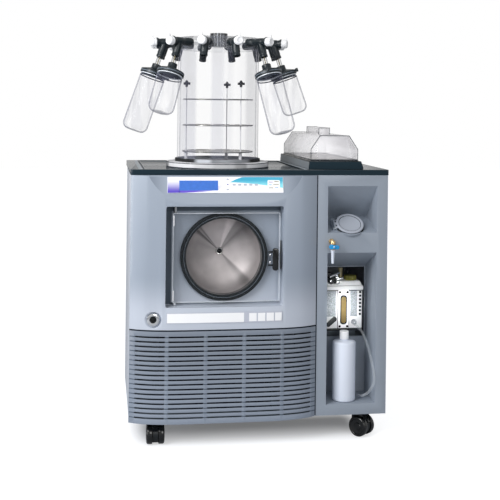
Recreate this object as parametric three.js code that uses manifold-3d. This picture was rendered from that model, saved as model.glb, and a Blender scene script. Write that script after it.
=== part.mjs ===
// Console freeze dryer: a wheeled cabinet with a cold chamber behind a clear door, a pump tower with
// two niches, a clear drying drum with a ring of flask valves, and a shell-freezing bath.
// Millimetres, +Z up, the front faces -Y. Inside this file X and Y are measured from the middle of the
// worktop and Z from the floor; the finished group is moved so that its origin is the middle of its box.
import * as THREE from 'three';
import { mergeVertices } from 'three/addons/utils/BufferGeometryUtils.js';
import Module from 'manifold-3d';

const wasm = await Module();
wasm.setup();

// ---------------------------------------------------------------- driving dimensions
const GAP = 0.3; // clearance between neighbouring pieces
const ROUND = 28; // sides of a large turned piece
const SMALL_ROUND = 14; // sides of a small turned piece

const CABINET = { width: 950, depth: 604, height: 990, bottom: 90, skin: 2.5, overhang: 4 };
const WORKTOP = { thickness: 20, wellDepth: 3, wellLeft: 54, wellRight: 318, wellRim: 14 };
const BOW = { left: 2, sagitta: 44, power: 5, wall: 4, stops: [0, 0.3, 0.5, 0.65, 0.78, 0.89, 1] };
const SEAM = { fromRight: 270, gap: 2, drop: 81.5, slit: 4 };
const FACET = { topProud: 26.5, height: 98 };
const GRILLE = { drop: 23, pitch: 16.85, slot: 6, lastRise: 12, ribs: 5, ribPitch: 138.5, rib: 11, endMargin: 14 };
const RECESS = { aside: -3, width: 423, drop: 129, height: 358.5, depth: 26, wall: 4 };
const CHAMBER = {
  aside: 2.5, rise: 171.5, bore: 138, wall: 3, straight: 60, dish: 75, neckWall: 6, flange: 170, flangeThickness: 5,
  port: 9, portLength: 70, coil: 6, coilTurns: 3, coilPitch: 2.6, arcSteps: 4, sides: 24,
};
const DOOR = { width: 388, height: 320, thickness: 15.7, sideGap: 27, pinInset: 8, pin: 4, pinReach: 28, bite: 30 };
const GASKET = { outer: 159, thickness: 19.4, groove: 3 };
const HANDLE = { width: 21, height: 80, depth: 14, standoff: 12, inset: 19.5, drop: 5, post: 5, postSpacing: 50 };
const STRIKE = { thickness: 4, width: 16, height: 105, rise: 7 };
const PANEL = { width: 417, height: 58, thickness: 1.5, drop: 4 };
const STRIP = { width: 415, height: 38, drop: 36.5, thickness: 1.2 };
const DRAIN = { aside: 46, drop: 43, dimple: 29, ring: 23.5, body: 19.7, bore: 12, seat: 22, ringLength: 12, length: 40 };
const TOWER = { wall: 4, returnDepth: 36, nicheWidth: 186, nicheFromRight: 44 };
const UPPER = { drop: 60, height: 172, apexRise: 45, depth: 150 };
const LOWER = { drop: 73, rise: 40, ceilingDrop: 73, depth: 157, bayHeight: 270, bayMargin: 4 };
const LID = {
  fromNiche: 91, rise: 26, inset: 38, radius: 52, thickness: 8, slope: 36, collar: 47, bore: 40, cup: 30, pocket: 54.5,
  pan: 58.5, hinge: 60, tabEnd: 63, tabWidth: 46, ear: 4,
};
const VALVE = {
  fromNiche: 14, under: 31, flange: 14, pipe: 8, reach: 24, body: 10, drop: 27, spoutTop: 6.5, spoutEnd: 4.5, spout: 50,
};
const LEVER = { length: 38, width: 18, thickness: 7, hub: 9, overhang: 17, drop: 15, tilt: 4 };
const PUMP = {
  fromNiche: 5, width: 155, front: 100, blockHeight: 161, blockLength: 120, headHeight: 28,
  motor: 66, motorLength: 240, railHeight: 41.7, railInset: 8, railStart: 70, railLength: 300,
};
const STAND = { leftReach: 9, rightReach: 13, thickness: 3.5, start: 6, length: 400 };
const BOTTLE = {
  fromNiche: 80, inset: 56, radius: 43, height: 210, shoulder: 14, neck: 14, cap: 17, capHeight: 30, capLift: 2,
};
const HOSE = {
  endFromNiche: 70, startFromPump: 126, startInset: 78, startRise: 18, diameter: 8.5, sides: 8, steps: 44, boss: 11,
  bossLength: 8, socket: 5,
};
const BATH = {
  width: 206, fromRight: 95, front: 14, back: 6, height: 30, leftRun: 2, rightRun: 8, well: 11, wellFront: 26,
  wellBack: 30, tubWall: 2, tubDepth: 96, rim: 4,
};
const COVER = {
  aside: -3, bottomWidth: 179, topWidth: 111, shoulder: 41, height: 92, wall: 4, frontInset: 30, backInset: 32,
};
const COVER_GRIP = { width: 44, height: 25, length: 226, front: 175, wall: 4 };
const DRUM = {
  aside: -1.5, fromFront: 246, outer: 156, wall: 8, height: 489, plate: 196, plateThickness: 20.7, port: 45, portDepth: 50,
  sides: 36,
};
const DRUM_GASKET = { outer: 163.5, inner: 144, base: 4, height: 11.7 };
const MANIFOLD = { height: 44.7, lid: 20, ringWall: 22, plug: 30, plugRise: 19, plugHeight: 52, plugRim: 4 };
const ARM = {
  count: 12, firstAngle: 20.3, radius: 15, reach: 245, flare: 18, flareLength: 9, drop: 22,
  branchAt: 212, branchRadius: 14.5, branchLength: 60, branchTilt: 19.5, socketDepth: 34, sides: 10,
};
const KNOB = { radius: 16.5, length: 23, finHeight: 8, finWidth: 5, finLength: 7, sides: 10 };
const CAP = { tube: 9, tubeBore: 6.5, tubeStart: 2, neckAt: 89, neck: 17, neckLength: 18, brim: 51, brimAt: 122, brimDepth: 12 };
const FLASK = { mouth: 43, body: 48, wall: 2.6, seat: 124, neckLength: 12, shoulder: 7, corner: 24 };
const FLASK_LENGTHS = { large: 229, small: 156 };
const RACK = {
  shelf: 135.5, shelfThickness: 4, shelfHeights: [53, 153, 252], rodRadius: 3, rodAt: 124, rodTop: 320,
  footRadius: 6, knob: 14.5, knobHeight: 12, hub: 7.5, hubHeight: 25, rodAngles: [173, -67, 53],
};
const CASTER = {
  sideInset: 100, frontInset: 62, backInset: 70, wheel: 37.5, wheelWidth: 21, web: 22, trail: 26, axle: 5,
  axleClearance: 0.4,
  hood: 41, plate: 34, plateThickness: 5, stem: 9, turns: [0, 40, 0, 0],
};
const FRAME = { pan: 3, rim: 32, post: 26, postSetback: 8 };
const INLET = { fromRight: 175, rise: 140, width: 52, height: 32, proud: 1.5, depth: 18, wall: 3 };
const COMPRESSOR = { fromLeft: 225, fromBack: 192, radius: 92, height: 235, footRadius: 110, footHeight: 14 };
const CONDENSER = {
  fromLeft: 145, width: 380, fromFront: 44, depth: 40, height: 300, finPitch: 27, finDepth: 8, shroud: 130,
  shroudDepth: 42, motor: 30,
};
const FAN = { hub: 24, length: 26, tip: 116, bladeWidth: 46, bladeThickness: 3, blades: 5, pitch: 28, shaft: 5 };

// ---------------------------------------------------------------- places worked out from them
const rad = THREE.MathUtils.degToRad;
const halfWidth = CABINET.width / 2;
const front = -CABINET.depth / 2;
const back = CABINET.depth / 2;
const skinOuter = halfWidth - CABINET.overhang;
const skinInner = skinOuter - CABINET.skin;
const underTop = CABINET.height - WORKTOP.thickness;
const bowLeft = -halfWidth + BOW.left;
const seamX = halfWidth - SEAM.fromRight;
const bowRight = seamX - SEAM.gap / 2;
const bowHalf = (bowRight - bowLeft) / 2;
const bowCentre = (bowRight + bowLeft) / 2;
const towerLeft = seamX + SEAM.gap / 2;
const nicheRight = halfWidth - TOWER.nicheFromRight;
const nicheLeft = nicheRight - TOWER.nicheWidth;
const upperTop = CABINET.height - UPPER.drop;
const upperBottom = upperTop - UPPER.height;
const upperApex = upperBottom + UPPER.apexRise;
const lowerTop = upperBottom - LOWER.drop;
const lowerBottom = CABINET.bottom + LOWER.rise;
const lowerCeiling = lowerTop - LOWER.ceilingDrop;
const bayBottom = lowerCeiling - LOWER.bayHeight;
const pumpLeft = nicheLeft + PUMP.fromNiche;
const pumpBase = bayBottom + GAP + PUMP.railHeight;
const recessX = bowCentre + RECESS.aside;
const recessLeft = recessX - RECESS.width / 2;
const recessRight = recessX + RECESS.width / 2;
const recessTop = CABINET.height - RECESS.drop;
const recessBottom = recessTop - RECESS.height;
const seamZ = recessBottom - SEAM.drop;
const drain = { x: recessX - STRIP.width / 2 - DRAIN.aside, z: recessBottom - DRAIN.drop };
const chamberX = recessX + CHAMBER.aside;
const chamberZ = recessBottom + CHAMBER.rise;
const recessBack = front + RECESS.depth;
const gasketFront = recessBack - GAP - GASKET.thickness;
const doorBack = gasketFront - GAP;
const doorFront = doorBack - DOOR.thickness;
const doorBottom = chamberZ - DOOR.height / 2;
const doorLeft = recessLeft + DOOR.sideGap;
const doorPin = { x: doorLeft + DOOR.pinInset, y: (doorFront + doorBack) / 2 };
const nicheBack = front + LOWER.depth;
const bathRight = halfWidth - BATH.fromRight;
const bathLeft = bathRight - BATH.width;
const drumX = bowCentre + DRUM.aside;
const drumY = front + DRUM.fromFront;
const drumTop = CABINET.height + DRUM.height;
const wellFloor = CABINET.height - WORKTOP.wellDepth;
const plateTop = wellFloor + GAP + DRUM.plateThickness;
const gasketBase = plateTop + GAP;
const wallBottom = gasketBase + DRUM_GASKET.base + GAP;
const manifoldBottom = drumTop - MANIFOLD.height;
const facetSlope = (BOW.sagitta - FACET.topProud) / FACET.height;

/** How far the bowed front stands ahead of the cabinet's front plane at x. */
function proud(x) {
  const share = Math.min(1, Math.abs((x - bowCentre) / bowHalf));
  return BOW.sagitta * (1 - share ** BOW.power);
}

// ---------------------------------------------------------------- materials
const paint = (colour, roughness, metalness = 0) => new THREE.MeshStandardMaterial({ color: colour, roughness, metalness });
const clear = (colour, opacity) => new THREE.MeshStandardMaterial({ color: colour, roughness: 0.05, transparent: true, opacity });
const MATERIAL = {
  cabinet: paint(0xa2abb8, 0.45),
  tower: paint(0x98a1ad, 0.5),
  worktopEdge: paint(0x26343b, 0.5),
  steel: paint(0xc2c0bc, 0.3, 1),
  frame: paint(0x6e767f, 0.55, 0.4),
  rubber: paint(0x2a363b, 0.6),
  white: paint(0xf2f4f5, 0.4),
  clear: clear(0xeef2f6, 0.3),
  chrome: paint(0xd8dadc, 0.12, 1),
  brass: paint(0xc9a65a, 0.3, 1),
  blue: paint(0x1b95dd, 0.4),
  pump: paint(0xdfe1e1, 0.45),
  black: paint(0x1d2224, 0.55),
  compressor: paint(0x14171a, 0.4),
  membrane: paint(0xf4f5f8, 0.3),
  fins: paint(0xb8bcc0, 0.4, 1),
};

// ---------------------------------------------------------------- solids
/** Turns a closed three.js geometry into a solid that can be joined and cut. */
function solid(geometry) {
  const bare = geometry.clone();
  bare.deleteAttribute('normal');
  bare.deleteAttribute('uv');
  const merged = mergeVertices(bare, 1e-3);
  const index = merged.index.array;
  const position = merged.attributes.position;
  const kept = [];
  let volume = 0;
  const [a, b, c] = [new THREE.Vector3(), new THREE.Vector3(), new THREE.Vector3()];
  for (let i = 0; i < index.length; i += 3) {
    const [p, q, r] = [index[i], index[i + 1], index[i + 2]];
    if (p === q || q === r || r === p) continue;
    kept.push(p, q, r);
    a.fromBufferAttribute(position, p);
    b.fromBufferAttribute(position, q);
    c.fromBufferAttribute(position, r);
    volume += a.dot(b.cross(c));
  }
  if (volume < 0) kept.reverse();
  const vertProperties = new Float32Array(position.array);
  return new wasm.Manifold(new wasm.Mesh({ numProp: 3, vertProperties, triVerts: new Uint32Array(kept) }));
}

const join = (...pieces) => pieces.reduce((whole, piece) => whole.add(piece));

/** Moves and turns a geometry: angles in degrees, applied about X, then Y, then Z. */
function placed(geometry, [x, y, z], [turnX, turnY, turnZ] = [0, 0, 0]) {
  return geometry.rotateX(rad(turnX)).rotateY(rad(turnY)).rotateZ(rad(turnZ)).translate(x, y, z);
}

/** A box between two corners. */
function box(x0, x1, y0, y1, z0, z1) {
  const block = new THREE.BoxGeometry(x1 - x0, y1 - y0, z1 - z0);
  return solid(placed(block, [(x0 + x1) / 2, (y0 + y1) / 2, (z0 + z1) / 2]));
}

/** An outline in the plane of two axes, extruded along the third. */
function prism(points, axis, from, to) {
  const shape = new THREE.Shape(points.map(([u, v]) => new THREE.Vector2(u, v)));
  const geometry = new THREE.ExtrudeGeometry(shape, { depth: to - from, bevelEnabled: false, steps: 1 });
  const [X, Y, Z] = [new THREE.Vector3(1, 0, 0), new THREE.Vector3(0, 1, 0), new THREE.Vector3(0, 0, 1)];
  const turn = new THREE.Matrix4();
  if (axis === 'x') turn.makeBasis(Y, Z, X).setPosition(from, 0, 0);
  if (axis === 'y') turn.makeBasis(X, Z, Y.clone().negate()).setPosition(0, to, 0);
  if (axis === 'z') turn.makeBasis(X, Y, Z).setPosition(0, 0, from);
  return solid(geometry.applyMatrix4(turn));
}

/** A profile of [radius, height] points turned about Z. It starts and ends on the axis or closes on itself. */
function turned(profile, sides = ROUND) {
  const points = profile.map(([r, h]) => new THREE.Vector2(r, h));
  if (profile[0][0] !== 0) points.push(points[0].clone());
  return new THREE.LatheGeometry(points, sides).rotateX(Math.PI / 2);
}

/** A rod along Z from one height to another. */
function rod(radius, from, to, sides = SMALL_ROUND) {
  return turned([[0, from], [radius, from], [radius, to], [0, to]], sides);
}

/** Corner radius of a faceted hole whose flats stand at this radius. */
const bored = (radius, sides) => radius / Math.cos(Math.PI / sides);

/** A turned piece laid along +Y through (x, z), its heights counted from y = 0. */
const alongY = (geometry, x, y, z) => solid(placed(geometry, [x, y, z], [-90, 0, 0]));

/** A named mesh of a solid. */
function mesh(name, body, material) {
  const { vertProperties, triVerts } = body.getMesh();
  const geometry = new THREE.BufferGeometry();
  geometry.setAttribute('position', new THREE.BufferAttribute(new Float32Array(vertProperties), 3));
  geometry.setIndex(new THREE.BufferAttribute(new Uint32Array(triVerts), 1));
  geometry.computeVertexNormals();
  const piece = new THREE.Mesh(geometry, material);
  piece.name = name;
  return piece;
}

// ---------------------------------------------------------------- cabinet
/** Welded chassis: a folded pan, four posts under the worktop and the stand that the pump is bolted to. */
function baseFrame() {
  const [x, y0, y1] = [skinInner - GAP, front + TOWER.wall + GAP, back - CABINET.overhang - CABINET.skin - GAP];
  const panTop = CABINET.bottom + FRAME.pan;
  const rimTop = CABINET.bottom + FRAME.rim;
  const tray = box(-x, x, y0, y1, CABINET.bottom, rimTop)
    .subtract(box(-x + FRAME.pan, x - FRAME.pan, y0 + FRAME.pan, y1 - FRAME.pan, panTop, rimTop + 1));
  const posts = [];
  for (const side of [-1, 1]) {
    for (const [a, b] of [[y0 + FRAME.postSetback, y0 + FRAME.postSetback + FRAME.post], [y1 - FRAME.post, y1]]) {
      const [inner, outer] = [side * (x - FRAME.post), side * x];
      posts.push(box(Math.min(inner, outer), Math.max(inner, outer), a, b, CABINET.bottom, underTop - GAP));
    }
  }
  const standBack = nicheBack + TOWER.wall + STAND.start;
  const [left, right] = [nicheLeft - STAND.leftReach, nicheRight + STAND.rightReach];
  const plate = box(left, right, standBack, standBack + STAND.length, bayBottom - STAND.thickness, bayBottom);
  const legs = [left, right - STAND.thickness].map((leg) => box(
    leg, leg + STAND.thickness, standBack, standBack + STAND.length, CABINET.bottom, bayBottom,
  ));
  return mesh('base_frame', join(tray, ...posts, plate, ...legs), MATERIAL.frame);
}

/** Folded sheet wrap: left side, back and right side in one piece, with the power inlet's housing on its back. */
function cabinetShell() {
  const [y0, y1] = [front + TOWER.wall + GAP, back - CABINET.overhang];
  const [z0, z1] = [CABINET.bottom, underTop - GAP];
  const wrap = box(-skinOuter, skinOuter, y0, y1, z0, z1)
    .subtract(box(-skinInner, skinInner, y0 - 1, y1 - CABINET.skin, z0 - 1, z1 + 1));
  const [hx, hz] = [INLET.width / 2, INLET.height / 2];
  const outer = y1 + INLET.proud;
  const [x, z] = [halfWidth - INLET.fromRight, CABINET.bottom + INLET.rise];
  const housing = box(x - hx, x + hx, outer - INLET.depth, outer, z - hz, z + hz);
  const [wx, wz] = [hx - INLET.wall, hz - INLET.wall];
  const socket = box(x - wx, x + wx, outer - INLET.depth + INLET.wall, outer + 1, z - wz, z + wz);
  return mesh('cabinet_shell', wrap.add(housing).subtract(socket), MATERIAL.cabinet);
}

/** Worktop slab with a shallow spill well, the bath's cut-out and the drum's port hole. */
function worktop() {
  const slab = box(-halfWidth, halfWidth, front, back, underTop, CABINET.height);
  const well = box(
    -halfWidth + WORKTOP.wellLeft, halfWidth - WORKTOP.wellRight,
    front + WORKTOP.wellRim, back - WORKTOP.wellRim, wellFloor, CABINET.height + 1,
  );
  const bathHole = box(...bathOpening(GAP + BATH.tubWall), underTop - 1, CABINET.height + 1);
  const port = solid(placed(rod(bored(DRUM.port + GAP, ROUND), underTop - 1, CABINET.height + 1, ROUND), [drumX, drumY, 0]));
  return mesh('worktop', slab.subtract(well).subtract(bathHole).subtract(port), MATERIAL.worktopEdge);
}

/** Outline of the bowed front between two x, moved back by inset and closed by a straight back edge. */
function bowOutline(x0, x1, inset, backY) {
  const [middle, half] = [(x0 + x1) / 2, (x1 - x0) / 2];
  const stops = [...BOW.stops.slice(1).reverse().map((s) => -s), ...BOW.stops];
  const points = stops.map((s) => {
    const x = middle + s * half;
    return [x, Math.min(front - proud(x) + inset, backY - 0.5)];
  });
  points.push([x1, backY], [x0, backY]);
  return points;
}

/** The wedge ahead of the inclined facet, moved back by inset. */
function facetTool(inset) {
  const at = (z) => front - FACET.topProud - facetSlope * (underTop - z) + inset;
  const [low, high] = [underTop - FACET.height - 8, underTop + 8];
  const ahead = front - BOW.sagitta - 60;
  return prism([[ahead, low], [at(low), low], [at(high), high], [ahead, high]], 'x', bowLeft - 5, bowRight + 5);
}

/** A bowed moulding with a flange all round, between two heights. */
function bowMoulding(z0, z1) {
  const lip = front + TOWER.wall;
  const outer = prism(bowOutline(bowLeft, bowRight, 0, lip), 'z', z0, z1);
  const hollow = prism(bowOutline(bowLeft + BOW.wall, bowRight - BOW.wall, BOW.wall, lip + 5), 'z', z0 + BOW.wall, z1 - BOW.wall);
  return { outer, hollow };
}

/** Upper front moulding: bowed, with the inclined facet, the chamber's recess with its hinge pins and strike. */
function frontFascia() {
  const { outer, hollow } = bowMoulding(seamZ + SEAM.slit / 2, underTop - GAP);
  const skin = outer.subtract(facetTool(0)).subtract(hollow.subtract(facetTool(BOW.wall)));
  const wall = RECESS.wall;
  const inside = [recessLeft, recessRight, front - BOW.sagitta - 5, recessBack, recessBottom, recessTop];
  const recessFront = front - Math.min(proud(recessLeft), proud(recessRight)) + BOW.wall / 2;
  const tub = box(recessLeft - wall, recessRight + wall, recessFront, recessBack + wall, recessBottom - wall, recessTop + wall);
  const neckHole = bored(CHAMBER.bore + CHAMBER.neckWall + GAP, CHAMBER.sides);
  const neck = alongY(rod(neckHole, -1, wall + 1, CHAMBER.sides), chamberX, recessBack, chamberZ);
  const pins = [
    solid(placed(rod(DOOR.pin, doorBottom + DOOR.height - DOOR.pinReach, recessTop + wall / 2), [doorPin.x, doorPin.y, 0])),
    solid(placed(rod(DOOR.pin, recessBottom - wall / 2, doorBottom + DOOR.pinReach), [doorPin.x, doorPin.y, 0])),
  ];
  const strike = box(
    recessRight - STRIKE.thickness, recessRight + 1, doorPin.y - STRIKE.width / 2, doorPin.y + STRIKE.width / 2,
    chamberZ + STRIKE.rise - STRIKE.height / 2, chamberZ + STRIKE.rise + STRIKE.height / 2,
  );
  const seat = alongY(rod(DRAIN.dimple + BOW.wall, 0, BOW.wall, ROUND), drain.x, front - DRAIN.seat, drain.z);
  const dimple = alongY(rod(DRAIN.dimple, -60, 0, ROUND), drain.x, front - DRAIN.seat, drain.z);
  const drainHole = alongY(rod(bored(DRAIN.body + GAP, ROUND), -5, DRAIN.length, ROUND), drain.x, front - DRAIN.seat, drain.z);
  const whole = join(skin, tub, seat).subtract(box(...inside)).subtract(neck).subtract(dimple).subtract(drainHole);
  return mesh('front_fascia', join(whole, ...pins, strike), MATERIAL.cabinet);
}

/** Lower front moulding: the same bow, cut by rows of air slots between upright ribs. */
function frontGrille() {
  const { outer, hollow } = bowMoulding(CABINET.bottom, seamZ - SEAM.slit / 2);
  const ribs = [];
  const halfRibs = (GRILLE.ribs - 2) / 2;
  for (let i = 0; i < GRILLE.ribs - 1; i += 1) ribs.push(bowCentre + (i - halfRibs) * GRILLE.ribPitch);
  const edges = [bowLeft + GRILLE.endMargin - GRILLE.rib / 2, ...ribs, bowRight - GRILLE.endMargin + GRILLE.rib / 2];
  const slots = [];
  const lowest = CABINET.bottom + GRILLE.lastRise;
  for (let z = seamZ - GRILLE.drop; z > lowest; z -= GRILLE.pitch) {
    for (let i = 0; i + 1 < edges.length; i += 1) {
      const [x0, x1] = [edges[i] + GRILLE.rib / 2, edges[i + 1] - GRILLE.rib / 2];
      slots.push(box(x0, x1, front - BOW.sagitta - 5, front + 2, z - GRILLE.slot / 2, z + GRILLE.slot / 2));
    }
  }
  return mesh('front_grille', outer.subtract(hollow).subtract(join(...slots)), MATERIAL.cabinet);
}

/** Membrane keypad that lies on the inclined facet. */
function controlPanel() {
  const angle = Math.atan(facetSlope);
  const keypad = new THREE.BoxGeometry(PANEL.width, PANEL.thickness, PANEL.height);
  const z = underTop - PANEL.drop - (PANEL.height / 2) * Math.cos(angle);
  const off = (GAP + PANEL.thickness / 2) / Math.cos(angle);
  const y = front - FACET.topProud - facetSlope * (underTop - z) - off;
  const piece = mesh('control_panel', solid(keypad), MATERIAL.membrane);
  piece.position.set(recessX, y, z);
  piece.rotation.x = -angle;
  return piece;
}

/** Name strip, left bare: a thin plate that follows the bow. */
function nameStrip() {
  const [x0, x1] = [recessX - STRIP.width / 2, recessX + STRIP.width / 2];
  const face = (inset) => Array.from({ length: 9 }, (_, i) => {
    const x = x0 + ((x1 - x0) * i) / 8;
    return [x, front - proud(x) - 1 + inset];
  });
  const outline = [...face(-STRIP.thickness), ...face(0).reverse()];
  const z = recessBottom - STRIP.drop;
  return mesh('name_strip', prism(outline, 'z', z - STRIP.height / 2, z + STRIP.height / 2), MATERIAL.white);
}

/** Chrome drain outlet in its dimple. */
function drainPort() {
  const { ring, body, bore, ringLength, length } = DRAIN;
  const profile = [
    [bore, -ringLength], [ring - 4, -ringLength], [ring, -ringLength + 4], [ring, -GAP], [body, -GAP],
    [body, length - ringLength], [bore, length - ringLength],
  ];
  return mesh('drain_port', alongY(turned(profile, 20), drain.x, front - DRAIN.seat, drain.z), MATERIAL.chrome);
}

// ---------------------------------------------------------------- cold chamber
/** Pressed steel chamber: neck, flange, short barrel with its cooling coil, dished back and drain pipe. */
function chamberShell() {
  const { bore, wall, straight, dish, neckWall, flange, flangeThickness, port, portLength } = CHAMBER;
  const flangeAt = RECESS.wall + GAP;
  const arc = [];
  for (let i = 0; i < CHAMBER.arcSteps; i += 1) {
    const t = (i / CHAMBER.arcSteps) * (Math.PI / 2);
    arc.push([Math.cos(t), Math.sin(t)]);
  }
  const innerDish = arc.map(([c, s]) => [bore * c, straight + dish * s]);
  const outerDish = arc.map(([c, s]) => [(bore + wall) * c, straight + (dish + wall) * s]).reverse();
  const end = straight + dish + portLength;
  const profile = [
    ...innerDish, [port + 6, straight + dish - 2], [port, straight + dish - 2], [port, end], [port + wall, end],
    [port + wall, straight + dish + wall], ...outerDish,
    [bore + wall, flangeAt + flangeThickness], [flange, flangeAt + flangeThickness], [flange, flangeAt],
    [bore + neckWall, flangeAt], [bore + neckWall, 0], [bore, 0],
  ];
  const vessel = alongY(turned(profile, CHAMBER.sides), chamberX, recessBack, chamberZ);
  const turns = [];
  for (let i = 0; i < CHAMBER.coilTurns; i += 1) {
    const [r, h, c] = [bore + wall, flangeAt + flangeThickness + CHAMBER.coil * (1.6 + CHAMBER.coilPitch * i), CHAMBER.coil];
    const hoop = turned([[r - 1, h - c], [r + c, h - c * 0.6], [r + c, h + c * 0.6], [r - 1, h + c]], CHAMBER.sides);
    turns.push(alongY(hoop, chamberX, recessBack, chamberZ));
  }
  return mesh('chamber_shell', join(vessel, ...turns), MATERIAL.steel);
}

/** Rubber ring between the chamber's neck and the door. */
function chamberGasket() {
  const { outer, thickness, groove } = GASKET;
  const inner = CHAMBER.bore + 1;
  const profile = [
    [inner, 0], [outer - 7, 0], [outer - 7, groove], [outer - 4, groove], [outer - 4, 0], [outer, 0], [outer, thickness],
    [inner, thickness],
  ];
  return mesh('chamber_gasket', alongY(turned(profile, 32), chamberX, gasketFront, chamberZ), MATERIAL.rubber);
}

/** Clear door plate, bored at its left edge for the two hinge pins. */
function chamberDoor() {
  const doorTop = doorBottom + DOOR.height;
  const plate = box(doorLeft, doorLeft + DOOR.width, doorFront, doorBack, doorBottom, doorTop);
  const hole = (z0, z1) => solid(placed(rod(bored(DOOR.pin + GAP, SMALL_ROUND), z0, z1), [doorPin.x, doorPin.y, 0]));
  const drilled = plate.subtract(hole(doorTop - DOOR.bite, doorTop + 1)).subtract(hole(doorBottom - 1, doorBottom + DOOR.bite));
  return mesh('chamber_door', drilled, MATERIAL.clear);
}

/** Upright pull handle on two posts. */
function doorHandle() {
  const { width, height, depth, standoff, inset, drop, post, postSpacing } = HANDLE;
  const [x, z] = [doorLeft + DOOR.width - inset, chamberZ - drop];
  const [w, h, c] = [width / 2, height / 2, 5];
  const outline = [
    [x - w + c, z - h], [x + w - c, z - h], [x + w, z - h + c], [x + w, z + h - c], [x + w - c, z + h], [x - w + c, z + h],
    [x - w, z + h - c], [x - w, z - h + c],
  ];
  const grip = prism(outline, 'y', doorFront - standoff - depth, doorFront - standoff);
  const posts = [-1, 1].map((side) => alongY(
    rod(post, -standoff - 2, -GAP), x, doorFront, z + (side * postSpacing) / 2,
  ));
  return mesh('door_handle', join(grip, ...posts), MATERIAL.black);
}

// ---------------------------------------------------------------- pump tower
/** Outline of the upper niche in Y and Z, grown by wall. It reaches ahead of the front by lead. */
function upperNiche(wall, lead) {
  const roof = (upperApex - upperTop) / UPPER.depth;
  const floor = (upperApex - upperBottom) / UPPER.depth;
  const top = upperTop + wall * Math.hypot(1, roof);
  const bottom = upperBottom - wall * Math.hypot(1, floor);
  const apexY = (top - bottom) / (floor - roof);
  return [[front - lead, top], [front, top], [front + apexY, bottom + floor * apexY], [front, bottom], [front - lead, bottom]];
}

/** Outline of the lower niche in Y and Z, grown by wall. It reaches ahead of the front by lead. */
function lowerNiche(wall, lead) {
  const roof = (lowerCeiling - lowerTop) / LOWER.depth;
  const top = lowerTop + wall * Math.hypot(1, roof);
  const deep = LOWER.depth + wall;
  const bottom = lowerBottom - wall;
  return [[front - lead, top], [front, top], [front + deep, top + roof * deep], [front + deep, bottom], [front - lead, bottom]];
}

/** Local frame of the inclined port: its place, its outward axis and the turn that lays +Z along that axis. */
const lidPort = { x: nicheLeft + LID.fromNiche, y: front + LID.inset, z: upperBottom + LID.rise };
const lidTurn = [LID.slope, 0, 0];

/** Tower moulding: flat front with the two niches, the pump's bay and the inclined port's collar. */
function towerPanel() {
  const { wall, returnDepth } = TOWER;
  const [z0, z1] = [CABINET.bottom, underTop - GAP];
  const sheet = box(towerLeft, skinOuter, front, front + wall, z0, z1);
  const pan = CABINET.bottom + FRAME.rim + GAP;
  const returns = [
    box(towerLeft, towerLeft + wall, front, front + returnDepth, pan, z1),
    box(towerLeft, skinInner - GAP - FRAME.post - GAP, front, front + returnDepth, z1 - wall, z1),
  ];
  const shells = [
    prism(upperNiche(wall, 0), 'x', nicheLeft - wall, nicheRight + wall),
    prism(lowerNiche(wall, 0), 'x', nicheLeft - wall, nicheRight + wall),
  ];
  const cuts = [prism(upperNiche(0, 5), 'x', nicheLeft, nicheRight), prism(lowerNiche(0, 5), 'x', nicheLeft, nicheRight)];
  const bay = box(
    nicheLeft + LOWER.bayMargin, nicheRight - LOWER.bayMargin, nicheBack - 5, nicheBack + wall + 5,
    bayBottom, lowerCeiling - LOWER.bayMargin,
  );
  const atPort = (geometry) => solid(placed(geometry, [lidPort.x, lidPort.y, lidPort.z], lidTurn));
  const tray = atPort(rod(LID.pan, -5, 3, 24));
  const collar = atPort(rod(LID.collar, -LID.cup - 6, -GAP, 24));
  const lug = atPort(new THREE.BoxGeometry(20, LID.tabWidth + 10, 12).translate(-LID.hinge + 4, 0, -8.5));
  const ears = [-1, 1].map((side) => atPort(new THREE.BoxGeometry(12, LID.ear, 18)
    .translate(-LID.hinge, side * (LID.tabWidth / 2 + 1 + LID.ear / 2), -3)));
  const pocket = atPort(rod(LID.pocket, -GAP, 40, 24));
  const cup = atPort(rod(LID.bore, -LID.cup, 5, 24));
  const boss = alongY(rod(HOSE.boss, -HOSE.bossLength, wall), hoseEnd.x, nicheBack, hoseEnd.z);
  const socket = alongY(rod(bored(HOSE.diameter / 2 + GAP, SMALL_ROUND), -HOSE.bossLength - 1, -HOSE.bossLength + HOSE.socket), hoseEnd.x, nicheBack, hoseEnd.z);
  const hollowed = cuts.reduce((whole, cut) => whole.subtract(cut), join(sheet, ...returns, ...shells, tray)).subtract(bay);
  const pocketed = hollowed.subtract(pocket);
  const whole = join(pocketed, collar, lug, ...ears, boss).subtract(cup).subtract(socket);
  return mesh('tower_panel', whole, MATERIAL.tower);
}

/** Flip lid of the inclined port, with its hinge tab on the left. */
function trapLid() {
  const { radius, thickness, tabEnd, tabWidth } = LID;
  const disc = turned([[0, 0], [radius, 0], [radius, thickness - 2], [radius - 2, thickness], [radius - 9, thickness], [radius - 11, thickness - 2], [0, thickness - 2]]);
  const tab = new THREE.BoxGeometry(18, tabWidth, thickness - 2).translate(-tabEnd + 9, 0, thickness / 2 - 1);
  const piece = mesh('trap_lid', solid(disc).add(solid(tab)), MATERIAL.cabinet);
  piece.position.set(lidPort.x, lidPort.y, lidPort.z);
  piece.rotation.x = rad(LID.slope);
  return piece;
}

/** Axis of the drain valve on the tower's front. */
const valveAt = { x: nicheLeft + VALVE.fromNiche, z: upperBottom - VALVE.under };

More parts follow.
